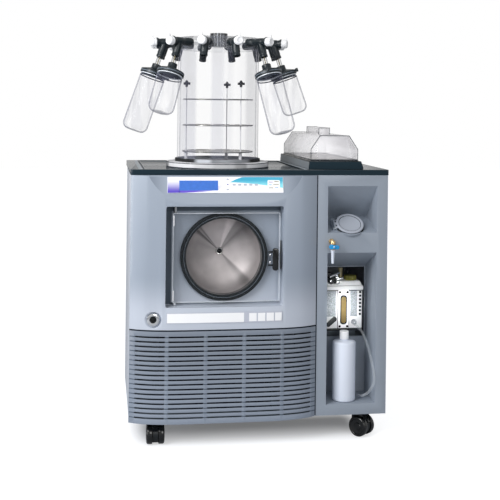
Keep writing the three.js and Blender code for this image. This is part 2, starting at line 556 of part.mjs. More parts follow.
/** Brass drain valve with its white spout. */
function drainValve() {
  const { x, z } = valveAt;
  const { flange, pipe, reach, body, drop, spoutTop, spoutEnd, spout } = VALVE;
  const out = alongY(turned([[0, -reach], [pipe, -reach], [pipe, -6], [flange, -6], [flange, -GAP], [0, -GAP]], 8), x, front, z);
  const y = front - reach;
  const barrel = solid(placed(rod(body, z - drop, z + body * 0.7, 8), [x, y, 0]));
  const tube = [[0, z - drop - spout], [spoutEnd, z - drop - spout], [spoutTop, z - drop + 1], [0, z - drop + 1]];
  return mesh('drain_valve', join(out, barrel, solid(placed(turned(tube, 10), [x, y, 0]))), MATERIAL.brass);
}

/** Blue lever that turns the drain valve. */
function drainLever() {
  const { length, width, thickness, hub, overhang, drop, tilt } = LEVER;
  const blade = new THREE.BoxGeometry(length, thickness, width).translate(length / 2 - overhang, 0, 0);
  const button = rod(hub, -thickness / 2 - 2, thickness / 2, 12).rotateX(-Math.PI / 2);
  const piece = mesh('drain_lever', solid(blade).add(solid(button)), MATERIAL.blue);
  piece.position.set(valveAt.x, front - VALVE.reach - VALVE.body - GAP - thickness / 2, valveAt.z - drop);
  piece.rotation.y = rad(tilt);
  return piece;
}

/** Place and direction of the hose's two ends. */
const hoseStart = new THREE.Vector3(pumpLeft + HOSE.startFromPump, front + HOSE.startInset, pumpBase + HOSE.startRise);
const hoseEnd = { x: nicheLeft + HOSE.endFromNiche, z: lowerBottom + HOSE.diameter / 2 + GAP };

/** Rotary vane pump: front block with its oil window, motor, base rail and drain elbow. */
function vacuumPump() {
  const { width, blockHeight, blockLength, headHeight } = PUMP;
  const [left, base] = [pumpLeft, pumpBase];
  const [y, right, top] = [front + PUMP.front, left + width, base + blockHeight];
  const block = box(left, right, y, y + blockLength, base, top);
  const head = prism(
    [[left, top - 1], [right, top - 1], [right - 6, top + headHeight], [left + 58, top + headHeight],
      [left + 44, top + 8], [left + 26, top + 10], [left, top + 30]],
    'y', y + 6, y + blockLength,
  );
  const flange = box(left - 3, right + 3, y - 3, y + 20, top - 14, top);
  const window = box(left + 52, left + 98, y - 4, y + 1, base + 3, base + 146);
  const glass = box(left + 63, left + 88, y - 7, y, base + 24, base + 126);
  const cx = left + width / 2;
  const motorZ = bayBottom + PUMP.railHeight + PUMP.motor + 6;
  const motor = alongY(rod(PUMP.motor, -2, PUMP.motorLength, 20), cx, y + blockLength, motorZ);
  const railY = y + PUMP.railStart;
  const rail = box(left + PUMP.railInset, right - PUMP.railInset, railY, railY + PUMP.railLength, bayBottom + GAP, base + 16);
  const filler = solid(placed(rod(24, top + headHeight - 2, top + headHeight + 16, 12), [right - 38, y + 40, 0]));
  const inlet = solid(placed(rod(8, top + headHeight - 2, top + headHeight + 34, 10), [left + 80, y + 46, 0]));
  const gasKnob = alongY(rod(11, -8, 8, 12), left + 26, y + 6, top + 22);
  const elbow = alongY(rod(9, -16, 2, 10), hoseStart.x - 4, y, hoseStart.z + 8);
  const barbAxis = new THREE.Vector3(22, -11, -25).normalize();
  const turn = new THREE.Quaternion().setFromUnitVectors(new THREE.Vector3(0, 0, 1), barbAxis);
  const barb = rod(6.5, -20, -GAP, 10).applyQuaternion(turn).translate(hoseStart.x, hoseStart.y, hoseStart.z);
  const lever = box(left + 16, left + 44, y - 6, y + 1, base + 8, base + 42);
  return mesh('vacuum_pump', join(block, head, flange, window, glass, motor, rail, filler, inlet, gasKnob, elbow, solid(barb), lever), MATERIAL.pump);
}

/** Oil mist bottle, closed, standing on the niche's floor. */
function oilBottle() {
  const x = nicheLeft + BOTTLE.fromNiche;
  const { inset, radius, height, shoulder, neck } = BOTTLE;
  const foot = lowerBottom + GAP;
  const profile = [
    [0, 0], [radius - 6, 0], [radius, 6], [radius, height], [radius - 4, height + shoulder * 0.6], [neck + 4, height + shoulder],
    [neck, height + shoulder], [neck, height + shoulder + 12], [0, height + shoulder + 12],
  ];
  return mesh('oil_bottle', solid(placed(turned(profile, 24), [x, front + inset, foot])), MATERIAL.white);
}

/** Screw cap of the oil mist bottle. */
function bottleCap() {
  const x = nicheLeft + BOTTLE.fromNiche;
  const { inset, height, shoulder, neck, cap, capHeight, capLift } = BOTTLE;
  const z0 = height + shoulder + capLift;
  const profile = [
    [neck + GAP, z0], [cap, z0], [cap, z0 + capHeight - 3], [cap - 3, z0 + capHeight], [0, z0 + capHeight],
    [0, height + shoulder + 12 + GAP], [neck + GAP, height + shoulder + 12 + GAP],
  ];
  const geometry = new THREE.LatheGeometry([...profile, profile[0]].map(([r, h]) => new THREE.Vector2(r, h)), 16);
  return mesh('bottle_cap', solid(placed(geometry.rotateX(Math.PI / 2), [x, front + inset, lowerBottom + GAP])), MATERIAL.white);
}

/** Route of the clear oil return hose, from the pump's elbow to the boss low on the niche's back wall, as X from the
 * niche's left wall, Y from the front and Z from the niche's floor. */
const HOSE_ROUTE = [
  [131, 78, 272], [141, 73, 260.6], [152, 67, 247], [165, 56, 214], [174, 40, 176], [178.5, 16, 138],
  [180, -5, 108], [177, -9, 77], [167, 4, 46], [156, 28, 24], [148, 58, 11], [139, 86, 6], [124, 102, 4.6],
  [105, 111, 4.6], [88, 116, 4.6], [75.5, 125, 4.6], [70.5, 138, 4.6], [70, 149, 4.6], [70, 153.6, 4.6],
];

/** Clear hose on that route. */
function drainHose() {
  const curve = new THREE.CatmullRomCurve3(
    HOSE_ROUTE.map(([x, y, z]) => new THREE.Vector3(nicheLeft + x, front + y, lowerBottom + z)), false, 'centripetal',
  );
  const section = new THREE.Shape();
  for (let i = 0; i < HOSE.sides; i += 1) {
    const t = (i / HOSE.sides) * Math.PI * 2;
    const [u, v] = [(HOSE.diameter / 2) * Math.cos(t), (HOSE.diameter / 2) * Math.sin(t)];
    if (i === 0) section.moveTo(u, v);
    else section.lineTo(u, v);
  }
  section.closePath();
  const tube = new THREE.ExtrudeGeometry(section, { steps: HOSE.steps, extrudePath: curve, curveSegments: 1 });
  return mesh('drain_hose', solid(tube), MATERIAL.clear);
}

// ---------------------------------------------------------------- shell-freezing bath
/** Plan of the bath's inner opening as [x0, x1, y0, y1], grown by grow. */
function bathOpening(grow) {
  return [
    bathLeft + BATH.well + BATH.leftRun - grow, bathRight - BATH.well - BATH.rightRun + grow,
    front + BATH.front + BATH.wellFront - grow, back - BATH.back - BATH.wellBack + grow,
  ];
}

/** Dark moulded frame with sloping sides that stands on the worktop around the bath. */
function bathFrame() {
  const { height, leftRun, rightRun } = BATH;
  const [left, right] = [bathLeft, bathRight];
  const z0 = CABINET.height + GAP;
  const [y0, y1] = [front + BATH.front, back - BATH.back];
  const ring = prism(
    [[left, z0], [right, z0], [right, z0 + 8], [right - rightRun, z0 + height], [left + leftRun, z0 + height], [left, z0 + 8]],
    'y', y0, y1,
  );
  return mesh('bath_frame', ring.subtract(box(...bathOpening(GAP + BATH.tubWall), z0 - 1, z0 + height + 1)), MATERIAL.rubber);
}

/** Steel tub that hangs by its rim in the bath's frame. */
function bathTub() {
  const rimZ = CABINET.height + GAP + BATH.height + GAP;
  const [x0, x1, y0, y1] = bathOpening(BATH.tubWall);
  const bottom = rimZ - BATH.tubDepth;
  const outer = box(x0, x1, y0, y1, bottom, rimZ + BATH.tubWall)
    .add(box(x0 - BATH.rim, x1 + BATH.rim, y0 - BATH.rim, y1 + BATH.rim, rimZ, rimZ + BATH.tubWall));
  const inner = box(...bathOpening(0), bottom + BATH.tubWall, rimZ + 10);
  return mesh('bath_tub', outer.subtract(inner), MATERIAL.steel);
}

/** Middle of the clear cover in X. */
const coverX = (bathLeft + bathRight) / 2 + COVER.aside;

/** Section of the clear cover in X and Z, shrunk by wall. */
function coverSection(wall) {
  const x = coverX;
  const z0 = CABINET.height + GAP + BATH.height + GAP + BATH.tubWall + GAP;
  const [b, t] = [COVER.bottomWidth / 2 - wall, COVER.topWidth / 2 - wall * 0.6];
  return [
    [x - b, z0 - (wall ? 5 : 0)], [x + b, z0 - (wall ? 5 : 0)], [x + b, z0 + COVER.shoulder - wall * 0.5],
    [x + t, z0 + COVER.height - wall], [x - t, z0 + COVER.height - wall], [x - b, z0 + COVER.shoulder - wall * 0.5],
  ];
}

/** Clear lift-off cover with a hollow grip block on its roof. */
function bathCover() {
  const [y0, y1] = [front + COVER.frontInset, back - COVER.backInset];
  const { wall } = COVER;
  const hood = prism(coverSection(0), 'y', y0, y1).subtract(prism(coverSection(wall), 'y', y0 + wall, y1 - wall));
  const x = coverX;
  const roof = coverSection(0)[3][1];
  const g = COVER_GRIP;
  const [gy0, gy1] = [y0 + g.front, y0 + g.front + g.length];
  const grip = box(x - g.width / 2, x + g.width / 2, gy0, gy1, roof - 1, roof + g.height);
  const hollow = box(
    x - g.width / 2 + g.wall, x + g.width / 2 - g.wall, gy0 + g.wall, gy1 - g.wall, roof - wall - 1, roof + g.height - g.wall,
  );
  return mesh('bath_cover', hood.add(grip).subtract(hollow), MATERIAL.clear);
}

// ---------------------------------------------------------------- drying drum
const drumPlace = (geometry) => solid(placed(geometry, [drumX, drumY, 0]));

/** Polished base plate with the vacuum port that goes down through the worktop. */
function drumBasePlate() {
  const { plate, port, portDepth } = DRUM;
  const z0 = wellFloor + GAP;
  const profile = [
    [port - 4, z0 - portDepth], [port, z0 - portDepth], [port, z0], [plate, z0], [plate, plateTop - 2], [plate - 2, plateTop], [port - 4, plateTop],
  ];
  return mesh('drum_base_plate', drumPlace(turned(profile, DRUM.sides)), MATERIAL.steel);
}

/** L-section rubber ring that the drum's wall stands in. */
function drumGasket() {
  const { outer, inner, base, height } = DRUM_GASKET;
  const [z, lip] = [gasketBase, DRUM.outer + GAP];
  const profile = [[inner, z], [outer, z], [outer, z + height], [lip, z + height], [lip, z + base], [inner, z + base]];
  return mesh('drum_gasket', drumPlace(turned(profile, DRUM.sides)), MATERIAL.rubber);
}

/** Clear drum wall. */
function drumWall() {
  const [r, z0, z1] = [DRUM.outer, wallBottom, manifoldBottom - GAP];
  return mesh('drum_wall', drumPlace(turned([[r - DRUM.wall, z0], [r, z0], [r, z1], [r - DRUM.wall, z1]], DRUM.sides)), MATERIAL.clear);
}

/** Unit vector that points outwards at an angle, counted from +X towards the front. */
const outward = (angle) => new THREE.Vector3(Math.cos(rad(angle)), -Math.sin(rad(angle)), 0);
const armAngle = (i) => ARM.firstAngle + (360 / ARM.count) * i;

/** Direction of a valve's branch: down, and leaning outwards. */
function branchAxis(angle) {
  return outward(angle).multiplyScalar(Math.sin(rad(ARM.branchTilt))).setZ(-Math.cos(rad(ARM.branchTilt)));
}

/** Lays a geometry made along +Z along an axis from a point. */
function alongAxis(geometry, axis, from) {
  const turn = new THREE.Quaternion().setFromUnitVectors(new THREE.Vector3(0, 0, 1), axis);
  return solid(geometry.applyQuaternion(turn).translate(from.x, from.y, from.z));
}

const armCentre = new THREE.Vector3(drumX, drumY, drumTop - ARM.drop);
const branchRoot = (angle) => armCentre.clone().addScaledVector(outward(angle), ARM.branchAt);

/** Thick port ring and lid of the drum, with one rubber valve body for each port. */
function manifoldTop() {
  const { height, lid, ringWall, plug } = MANIFOLD;
  const [r, z0] = [DRUM.outer, manifoldBottom];
  const bore = plug + GAP;
  const ring = drumPlace(turned([
    [r - ringWall, z0], [r, z0], [r, z0 + height], [bore, z0 + height], [bore, z0 + height - lid], [r - ringWall, z0 + height - lid],
  ], DRUM.sides));
  const arms = [];
  const sockets = [];
  for (let i = 0; i < ARM.count; i += 1) {
    const angle = armAngle(i);
    const root = r - ringWall / 2;
    const arm = [[0, root], [ARM.radius, root], [ARM.radius, ARM.reach - ARM.flareLength], [ARM.flare, ARM.reach], [0, ARM.reach]];
    arms.push(alongAxis(turned(arm, ARM.sides), outward(angle), armCentre));
    const { branchRadius: w, branchLength: n } = ARM;
    const branch = [[0, 0], [w, 0], [w, n], [0, n]];
    arms.push(alongAxis(turned(branch, ARM.sides), branchAxis(angle), branchRoot(angle)));
    sockets.push(alongAxis(rod(bored(CAP.tube + GAP, ARM.sides), n - ARM.socketDepth, n + 2, ARM.sides), branchAxis(angle), branchRoot(angle)));
  }
  return mesh('manifold_top', join(ring, ...arms).subtract(join(...sockets)), MATERIAL.rubber);
}

/** Plug in the middle of the drum's lid. */
function centrePlug() {
  const { plug, plugRise, plugHeight, plugRim } = MANIFOLD;
  const top = drumTop + plugRise;
  const profile = [
    [0, top - plugHeight], [plug, top - plugHeight], [plug, drumTop + GAP], [plug + plugRim, drumTop + GAP],
    [plug + plugRim, top - 4], [plug, top], [0, top],
  ];
  return mesh('centre_plug', drumPlace(turned(profile, 20)), MATERIAL.black);
}

/** White valve knob with its pointer fin, on the end of an arm. */
function valveKnob(i) {
  const { radius, length, finHeight, finWidth, finLength } = KNOB;
  const from = ARM.reach + GAP;
  const profile = [[0, from], [radius, from + 3], [radius, from + length - 4], [radius - 4, from + length], [0, from + length]];
  const fin = new THREE.BoxGeometry(finHeight + 4, finWidth, finLength)
    .translate(-radius - finHeight / 2 + 2, 0, from + length - finLength / 2 - 3);
  const body = solid(turned(profile, KNOB.sides)).add(solid(fin));
  const knob = mesh(`valve_knob_${String(i + 1).padStart(2, '0')}`, body, MATERIAL.white);
  knob.rotation.y = Math.PI / 2;
  const arm = new THREE.Group();
  arm.add(knob);
  arm.position.copy(armCentre);
  arm.rotation.z = -rad(armAngle(i));
  return arm;
}

/** Rubber flask cap with its clear adapter tube, in the branch's own frame: +Z runs down the branch. */
function flaskCap(name) {
  const { tube, tubeBore, tubeStart, neckAt, neck, neckLength, brim, brimAt, brimDepth } = CAP;
  const start = ARM.branchLength - ARM.socketDepth + tubeStart;
  const under = FLASK.seat - GAP;
  const skirt = FLASK.mouth + GAP;
  const profile = [
    [tubeBore, start], [tube, start], [tube, neckAt], [neck, neckAt], [neck, neckAt + neckLength],
    [brim - 4, brimAt - 3], [brim, brimAt], [brim, brimAt + brimDepth], [skirt, brimAt + brimDepth], [skirt, under], [tubeBore, under],
  ];
  return mesh(name, solid(turned(profile, 18)), MATERIAL.rubber);
}

/** Thin-walled glass flask in the branch's own frame. */
function flaskBody(name, length) {
  const { mouth, body, wall, seat, neckLength, shoulder, corner } = FLASK;
  const end = seat + length;
  const round = (r, k, z) => [[r, z - k], [r - k * 0.13, z - k * 0.5], [r - k * 0.42, z - k * 0.15], [r - k, z]];
  const profile = [
    [mouth - wall, seat], [mouth, seat], [mouth, seat + neckLength], [body, seat + neckLength + shoulder],
    ...round(body, corner, end), [0, end], [0, end - wall],
    ...round(body - wall, corner, end - wall).reverse(), [body - wall, seat + neckLength + shoulder + 1], [mouth - wall, seat + neckLength + 1],
  ];
  const closed = [...profile, profile[0]].map(([r, h]) => new THREE.Vector2(r, h));
  return mesh(name, solid(new THREE.LatheGeometry(closed, 18).rotateX(Math.PI / 2)), MATERIAL.clear);
}

/** Flask and cap on the branch of arm i. */
function flaskOn(i, name, length) {
  const angle = armAngle(i);
  const hung = new THREE.Group();
  hung.quaternion.setFromUnitVectors(new THREE.Vector3(0, 0, 1), branchAxis(angle));
  hung.position.copy(branchRoot(angle));
  hung.add(flaskCap(`${name}_cap`), flaskBody(name, length));
  return hung;
}

/** Drying rack: three steel shelves on three rods with star nuts. */
function dryingRack() {
  const { shelf, shelfThickness, shelfHeights, rodRadius, rodAt, rodTop, footRadius, knob, knobHeight, hub, hubHeight, rodAngles } = RACK;
  const pieces = shelfHeights.map((h) => {
    const z = CABINET.height + h;
    return drumPlace(turned([[0, z], [shelf, z], [shelf, z + shelfThickness], [0, z + shelfThickness]], 28));
  });
  const star = new THREE.Shape(Array.from({ length: 10 }, (_, i) => {
    const [t, r] = [(i / 10) * Math.PI * 2, i % 2 ? knob * 0.7 : knob];
    return new THREE.Vector2(r * Math.cos(t), r * Math.sin(t));
  }));
  for (const angle of rodAngles) {
    const at = new THREE.Vector3(drumX, drumY, 0).addScaledVector(outward(angle), rodAt);
    const top = CABINET.height + rodTop;
    pieces.push(solid(placed(rod(rodRadius, plateTop + GAP, top, 8), [at.x, at.y, 0])));
    pieces.push(solid(placed(rod(footRadius, plateTop + GAP, CABINET.height + shelfHeights[0] + 1, 8), [at.x, at.y, 0])));
    const nut = new THREE.ExtrudeGeometry(star, { depth: knobHeight, bevelEnabled: false });
    pieces.push(solid(placed(nut, [at.x, at.y, top - knobHeight])));
    pieces.push(solid(placed(rod(hub, top - hubHeight + 6, top + 6, 10), [at.x, at.y, 0])));
  }
  return mesh('drying_rack', join(...pieces), MATERIAL.steel);
}

// ---------------------------------------------------------------- casters
/** Caster fork in its own frame: swivel axis at X = Y = 0, the wheels trail towards -Y. */
function casterFork(name) {
  const { wheel, web, trail, axle, axleClearance, hood, plate, plateThickness, stem } = CASTER;
  const top = CABINET.bottom - GAP;
  const plateUnder = top - plateThickness;
  const flange = box(-plate, plate, -plate, plate, plateUnder, top);
  const post = solid(rod(stem, wheel + 18, plateUnder + 1, 12));
  const body = prism(
    [[-trail - 12, wheel - 14], [-trail + 14, wheel - 14], [12, wheel + 14], [12, wheel + hood], [-trail - 6, wheel + hood],
      [-trail - hood * 0.8, wheel + 16]],
    'x', -web / 2 + 1, web / 2 - 1,
  );
  const cover = prism(
    [[-trail - 22, wheel + hood - 1], [-trail + 4, wheel + hood - 1], [12, wheel + hood - 1], [12, wheel + hood + 4], [-trail - 18, wheel + hood + 4]],
    'x', -web / 2 - 12, web / 2 + 12,
  );
  const bore = solid(placed(rod(bored(axle + axleClearance, 16), -web, web, 16), [0, -trail, wheel], [0, 90, 0]));
  return mesh(name, join(flange, post, body, cover).subtract(bore), MATERIAL.black);
}

/** Pair of wheels on one axle, about X through its own origin. */
function casterWheels(name) {
  const { wheel, wheelWidth, web, axle } = CASTER;
  const [inner, outer] = [web / 2, web / 2 + wheelWidth];
  const half = [
    [axle, inner], [wheel - 2, inner], [wheel, inner + 3], [wheel, outer - 6], [wheel - 6, outer], [wheel - 11, outer - 3], [0, outer - 3],
  ];
  const mirrored = half.map(([r, h]) => [r, -h]).reverse();
  return mesh(name, solid(placed(turned([...mirrored, ...half], 20), [0, 0, 0], [0, 90, 0])), MATERIAL.black);
}

/** One caster at its corner, swivelled to its angle. */
function caster(corner, x, y, turn) {
  const group = new THREE.Group();
  const wheels = casterWheels(`caster_wheels_${corner}`);
  wheels.position.set(0, -CASTER.trail, CASTER.wheel);
  group.add(casterFork(`caster_fork_${corner}`), wheels);
  group.position.set(x, y, 0);
  group.rotation.z = rad(turn);
  return group;
}

// ---------------------------------------------------------------- refrigeration
/** Hermetic compressor on its foot, standing on the pan. */
function compressor() {
  const { fromLeft, fromBack, radius, height, footRadius, footHeight } = COMPRESSOR;
  const z = CABINET.bottom + FRAME.pan + GAP;
  const profile = [
    [0, 0], [footRadius, 0], [footRadius, footHeight], [radius * 0.8, footHeight], [radius, footHeight + 26], [radius, height - 44],
    [radius * 0.86, height - 16], [radius * 0.5, height], [0, height],
  ];
  return mesh('compressor', solid(placed(turned(profile, 20), [-halfWidth + fromLeft, back - fromBack, z])), MATERIAL.compressor);
}

/** Finned condenser with its fan shroud and the fan motor's bracket. */
function condenser() {
  const { width, depth, height, finPitch, finDepth, shroud, shroudDepth, motor } = CONDENSER;
  const [left, y] = [-halfWidth + CONDENSER.fromLeft, front + CONDENSER.fromFront];
  const z0 = CABINET.bottom + FRAME.pan + GAP;
  const [cx, cz] = [left + width / 2, z0 + height / 2];
  const core = box(left, left + width, y, y + depth, z0, z0 + height);
  const grooves = [];
  for (let x = left + finPitch; x < left + width - finPitch / 2; x += finPitch) {
    grooves.push(box(x - 3, x + 3, y - 1, y + finDepth, z0 + 12, z0 + height - 12));
  }
  const ring = alongY(turned([[shroud - 6, -1], [shroud, -1], [shroud, shroudDepth], [shroud - 6, shroudDepth]]), cx, y + depth, cz);
  const can = alongY(rod(motor, -1, 12, 16), cx, y + depth, cz);
  return mesh('condenser', core.subtract(join(...grooves)).add(ring).add(can), MATERIAL.fins);
}

/** Fan rotor on the motor's face, inside the shroud. */
function fanRotor() {
  const { hub, length, tip, bladeWidth, bladeThickness, blades, pitch } = FAN;
  const pieces = [solid(rod(hub, 0, length, 16))];
  for (let i = 0; i < blades; i += 1) {
    const blade = new THREE.BoxGeometry(tip - hub + 6, bladeWidth, bladeThickness).rotateX(rad(pitch))
      .translate((tip + hub) / 2 - 3, 0, length / 2).rotateZ(rad((360 / blades) * i));
    pieces.push(solid(blade));
  }
  const fan = mesh('fan_rotor', join(...pieces), MATERIAL.black);
  const { fromLeft, fromFront, width, depth, height } = CONDENSER;
  fan.position.set(-halfWidth + fromLeft + width / 2, front + fromFront + depth + 12 + GAP, CABINET.bottom + FRAME.pan + GAP + height / 2);
  fan.rotation.x = -Math.PI / 2;
  return fan;
}

// ---------------------------------------------------------------- assembly
const machine = new THREE.Group();
machine.add(
  baseFrame(), cabinetShell(), worktop(), frontFascia(), frontGrille(), towerPanel(), controlPanel(), nameStrip(), drainPort(),
  chamberShell(), chamberGasket(), chamberDoor(), doorHandle(),
  trapLid(), drainValve(), drainLever(), vacuumPump(), oilBottle(), bottleCap(), drainHose(),
  bathFrame(), bathTub(), bathCover(),
  drumBasePlate(), drumGasket(), drumWall(), manifoldTop(), centrePlug(), dryingRack(),
  compressor(), condenser(), fanRotor(),
);
for (let i = 0; i < ARM.count; i += 1) machine.add(valveKnob(i));
machine.add(
  flaskOn(5, 'flask_large_left', FLASK_LENGTHS.large), flaskOn(4, 'flask_small_left', FLASK_LENGTHS.small),
  flaskOn(1, 'flask_large_right', FLASK_LENGTHS.large), flaskOn(0, 'flask_small_right', FLASK_LENGTHS.small),
);
const casterX = halfWidth - CASTER.sideInset;
const [frontY, backY] = [front + CASTER.frontInset, back - CASTER.backInset];
machine.add(
  caster('front_left', -casterX, frontY, CASTER.turns[0]), caster('front_right', casterX, frontY, CASTER.turns[1]),
  caster('back_left', -casterX, backY, CASTER.turns[2]), caster('back_right', casterX, backY, CASTER.turns[3]),
);

// The origin is on the floor under the middle of the whole machine's box, the hose left out.
machine.updateMatrixWorld(true);
const extent = new THREE.Box3();
for (const piece of machine.children) if (piece.name !== 'drain_hose') extent.expandByObject(piece, true);
machine.position.set(-(extent.min.x + extent.max.x) / 2, -(extent.min.y + extent.max.y) / 2, -extent.min.z);

const freezeDryer = new THREE.Group();
freezeDryer.add(machine);
export default freezeDryer;
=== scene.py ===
"""A freeze dryer on casters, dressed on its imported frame.

Sizes in the classes are millimetres in the machine's own frame: X runs to the right and Y to the
back from the middle of the worktop, and Z runs up from the floor. spot() turns them into metres in
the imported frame. Every finished mesh stands at the origin with its place in its vertices.
"""

import logging
import math
from dataclasses import dataclass, field
from enum import Enum
from typing import Iterable, Optional, Sequence

import bpy
from mathutils import Matrix, Vector


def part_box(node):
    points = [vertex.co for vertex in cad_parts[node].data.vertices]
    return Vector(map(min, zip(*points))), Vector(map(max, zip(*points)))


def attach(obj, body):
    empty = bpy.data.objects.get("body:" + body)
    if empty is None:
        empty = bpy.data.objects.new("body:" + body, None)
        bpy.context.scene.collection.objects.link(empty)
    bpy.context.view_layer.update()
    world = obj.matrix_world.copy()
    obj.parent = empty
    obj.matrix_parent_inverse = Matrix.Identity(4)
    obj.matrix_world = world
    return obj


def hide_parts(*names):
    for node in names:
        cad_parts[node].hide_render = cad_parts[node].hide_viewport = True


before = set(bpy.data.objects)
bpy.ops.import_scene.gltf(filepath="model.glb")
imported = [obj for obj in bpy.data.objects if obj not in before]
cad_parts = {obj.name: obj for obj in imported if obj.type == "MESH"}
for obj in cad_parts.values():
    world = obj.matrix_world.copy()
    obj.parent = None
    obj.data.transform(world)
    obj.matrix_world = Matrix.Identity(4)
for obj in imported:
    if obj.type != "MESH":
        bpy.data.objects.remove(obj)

LOG = logging.getLogger("freeze_dryer")
MM = 0.001
Point2 = tuple[float, float]
Point3 = tuple[float, float, float]
Colour = tuple[float, float, float, float]
Piece = bpy.types.Object
Socket = bpy.types.NodeSocket
# Doubled points merge within these distances in metres, and pieces stand FIT millimetres apart.
WELD = 0.000005
CAD_WELD = 0.00002
FIT = 0.3
AHEAD = (0, -1, 0)
BACKWARD = (0, 1, 0)
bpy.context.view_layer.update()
WORKTOP_LOW, WORKTOP_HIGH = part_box("worktop")
ORIGIN = Vector(((WORKTOP_LOW.x + WORKTOP_HIGH.x) / 2, (WORKTOP_LOW.y + WORKTOP_HIGH.y) / 2, 0))
FRONT = (WORKTOP_LOW.y - ORIGIN.y) / MM
BACK = -FRONT
TOP = WORKTOP_HIGH.z / MM
UNDER_TOP = WORKTOP_LOW.z / MM
DRUM_AXIS: Point2 = (-136, FRONT + 246)
CHAMBER_AXIS: Point2 = (-135, 674)
DRAIN_AT: Point2 = (-391, 459.5)
DRAIN_SEAT = 22
RECESS_DEPTH = 26


def spot(x: float, y: float, z: float) -> Vector:
    """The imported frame's point, in metres, of a place in the machine's millimetres."""
    return ORIGIN + Vector((x, y, z)) * MM


# ---------------- mesh tools
class Axis(Enum):
    """An axis that an outline is extruded along, with the order of its coordinates."""

    X = (2, 0, 1)
    Y = (0, 2, 1)
    Z = (0, 1, 2)


def focus(obj: Piece) -> Piece:
    """Selects one object alone in object mode.

    Args:
        obj: The object.

    Returns:
        The same object.
    """
    if bpy.context.mode != "OBJECT":
        bpy.ops.object.mode_set(mode="OBJECT")
    bpy.ops.object.select_all(action="DESELECT")
    obj.select_set(True)
    bpy.context.view_layer.objects.active = obj
    return obj


def edit(obj: Piece) -> Piece:
    """Opens one object in edit mode with all of it selected.

    Args:
        obj: The object.

    Returns:
        The same object.
    """
    focus(obj)
    bpy.ops.object.mode_set(mode="EDIT")
    bpy.ops.mesh.select_all(action="SELECT")
    return obj


def done(obj: Piece) -> Piece:
    """Merges doubled points, turns the normals outwards and leaves edit mode.

    Args:
        obj: The object in edit mode.

    Returns:
        The same object.
    """
    bpy.ops.mesh.select_all(action="SELECT")
    bpy.ops.mesh.remove_doubles(threshold=WELD)
    bpy.ops.mesh.normals_make_consistent(inside=False)
    bpy.ops.object.mode_set(mode="OBJECT")
    return obj


def modify(obj: Piece, kind: str, **settings: object) -> Piece:
    """Adds a modifier and applies it.

    Args:
        obj: The object.
        kind: The modifier's type.
        settings: The modifier's settings.

    Returns:
        The same object.
    """
    focus(obj)
    modifier = obj.modifiers.new(kind.lower(), kind)
    for key, value in settings.items():
        setattr(modifier, key, value)
    bpy.ops.object.modifier_apply(modifier=modifier.name)
    return obj


def rounded(obj: Piece, width: float, segments: int = 2, angle: float = 30) -> Piece:
    """Rounds every edge sharper than an angle.

    Args:
        obj: The mesh to round.
        width: Width of the rounding in millimetres.
        segments: Steps across it.
        angle: Least angle between faces in degrees.

    Returns:
        The same object.
    """
    return modify(
        obj, "BEVEL", width=width * MM, segments=segments, limit_method="ANGLE",
        angle_limit=math.radians(angle), use_clamp_overlap=True, harden_normals=False,
    )


def wire(name: str, points: Sequence[Vector], closed: bool) -> Piece:
    """A chain of edges, left in edit mode with all of it selected.

    Args:
        name: Name of the new object.
        points: The corners in metres.
        closed: Whether the last joins the first.

    Returns:
        The new object.
    """
    bpy.ops.object.select_all(action="DESELECT")
    bpy.ops.mesh.primitive_plane_add(size=MM)
    obj = bpy.context.active_object
    obj.name = name
    obj.data.name = name
    bpy.ops.object.mode_set(mode="EDIT")
    bpy.ops.mesh.select_all(action="SELECT")
    bpy.ops.mesh.merge(type="CENTER")
    bpy.ops.transform.translate(value=points[0])
    chain = [*points, points[0]] if closed else list(points)
    for start, end in zip(chain, chain[1:]):
        bpy.ops.mesh.extrude_vertices_move(TRANSFORM_OT_translate={"value": end - start})
    bpy.ops.mesh.select_all(action="SELECT")
    if closed:
        bpy.ops.mesh.remove_doubles(threshold=WELD)
    return obj


def laid(obj: Piece, place: Matrix) -> Piece:
    """Moves a mesh made round the origin to its place, and keeps that place in its vertices.

    Args:
        obj: The object.
        place: Where its origin goes.

    Returns:
        The same object.
    """
    focus(obj)
    obj.matrix_world = place
    bpy.ops.object.transform_apply(location=True, rotation=True, scale=True)
    return obj


MACHINE = Matrix.Translation(ORIGIN)


def aimed(at: Point3, axis: Point3 = (0, 0, 1)) -> Matrix:
    """The place at a point in machine millimetres whose local Z runs along an axis."""
    turn = Vector((0, 0, 1)).rotation_difference(Vector(axis).normalized())
    return Matrix.Translation(spot(*at)) @ turn.to_matrix().to_4x4()


def moved(place: Matrix, x: float, z: float = 0) -> Matrix:
    """A place shifted by millimetres along its own X and Z."""
    return place @ Matrix.Translation(Vector((x, 0, z)) * MM)


def prism(
    name: str, outline: Iterable[Point2], axis: Axis, start: float, end: float, place: Matrix = MACHINE,
) -> Piece:
    """A flat outline extruded along an axis.

    Args:
        name: Name of the new object.
        outline: Points across the axis in millimetres, in the order X, Y, Z without the axis itself.
        axis: Axis of the extrusion.
        start: Where it begins along the axis.
        end: Where it ends along the axis.
        place: Where its origin lies.

    Returns:
        The closed solid.
    """
    order = axis.value
    points = []
    for u, v in outline:
        corner = (u, v, start)
        points.append(Vector([corner[order[i]] for i in range(3)]) * MM)
    obj = wire(name, points, True)
    bpy.ops.mesh.edge_face_add()
    step = Vector([1.0 if order[i] == 2 else 0.0 for i in range(3)]) * (end - start) * MM
    bpy.ops.mesh.extrude_region_move(TRANSFORM_OT_translate={"value": step})
    return laid(done(obj), place)


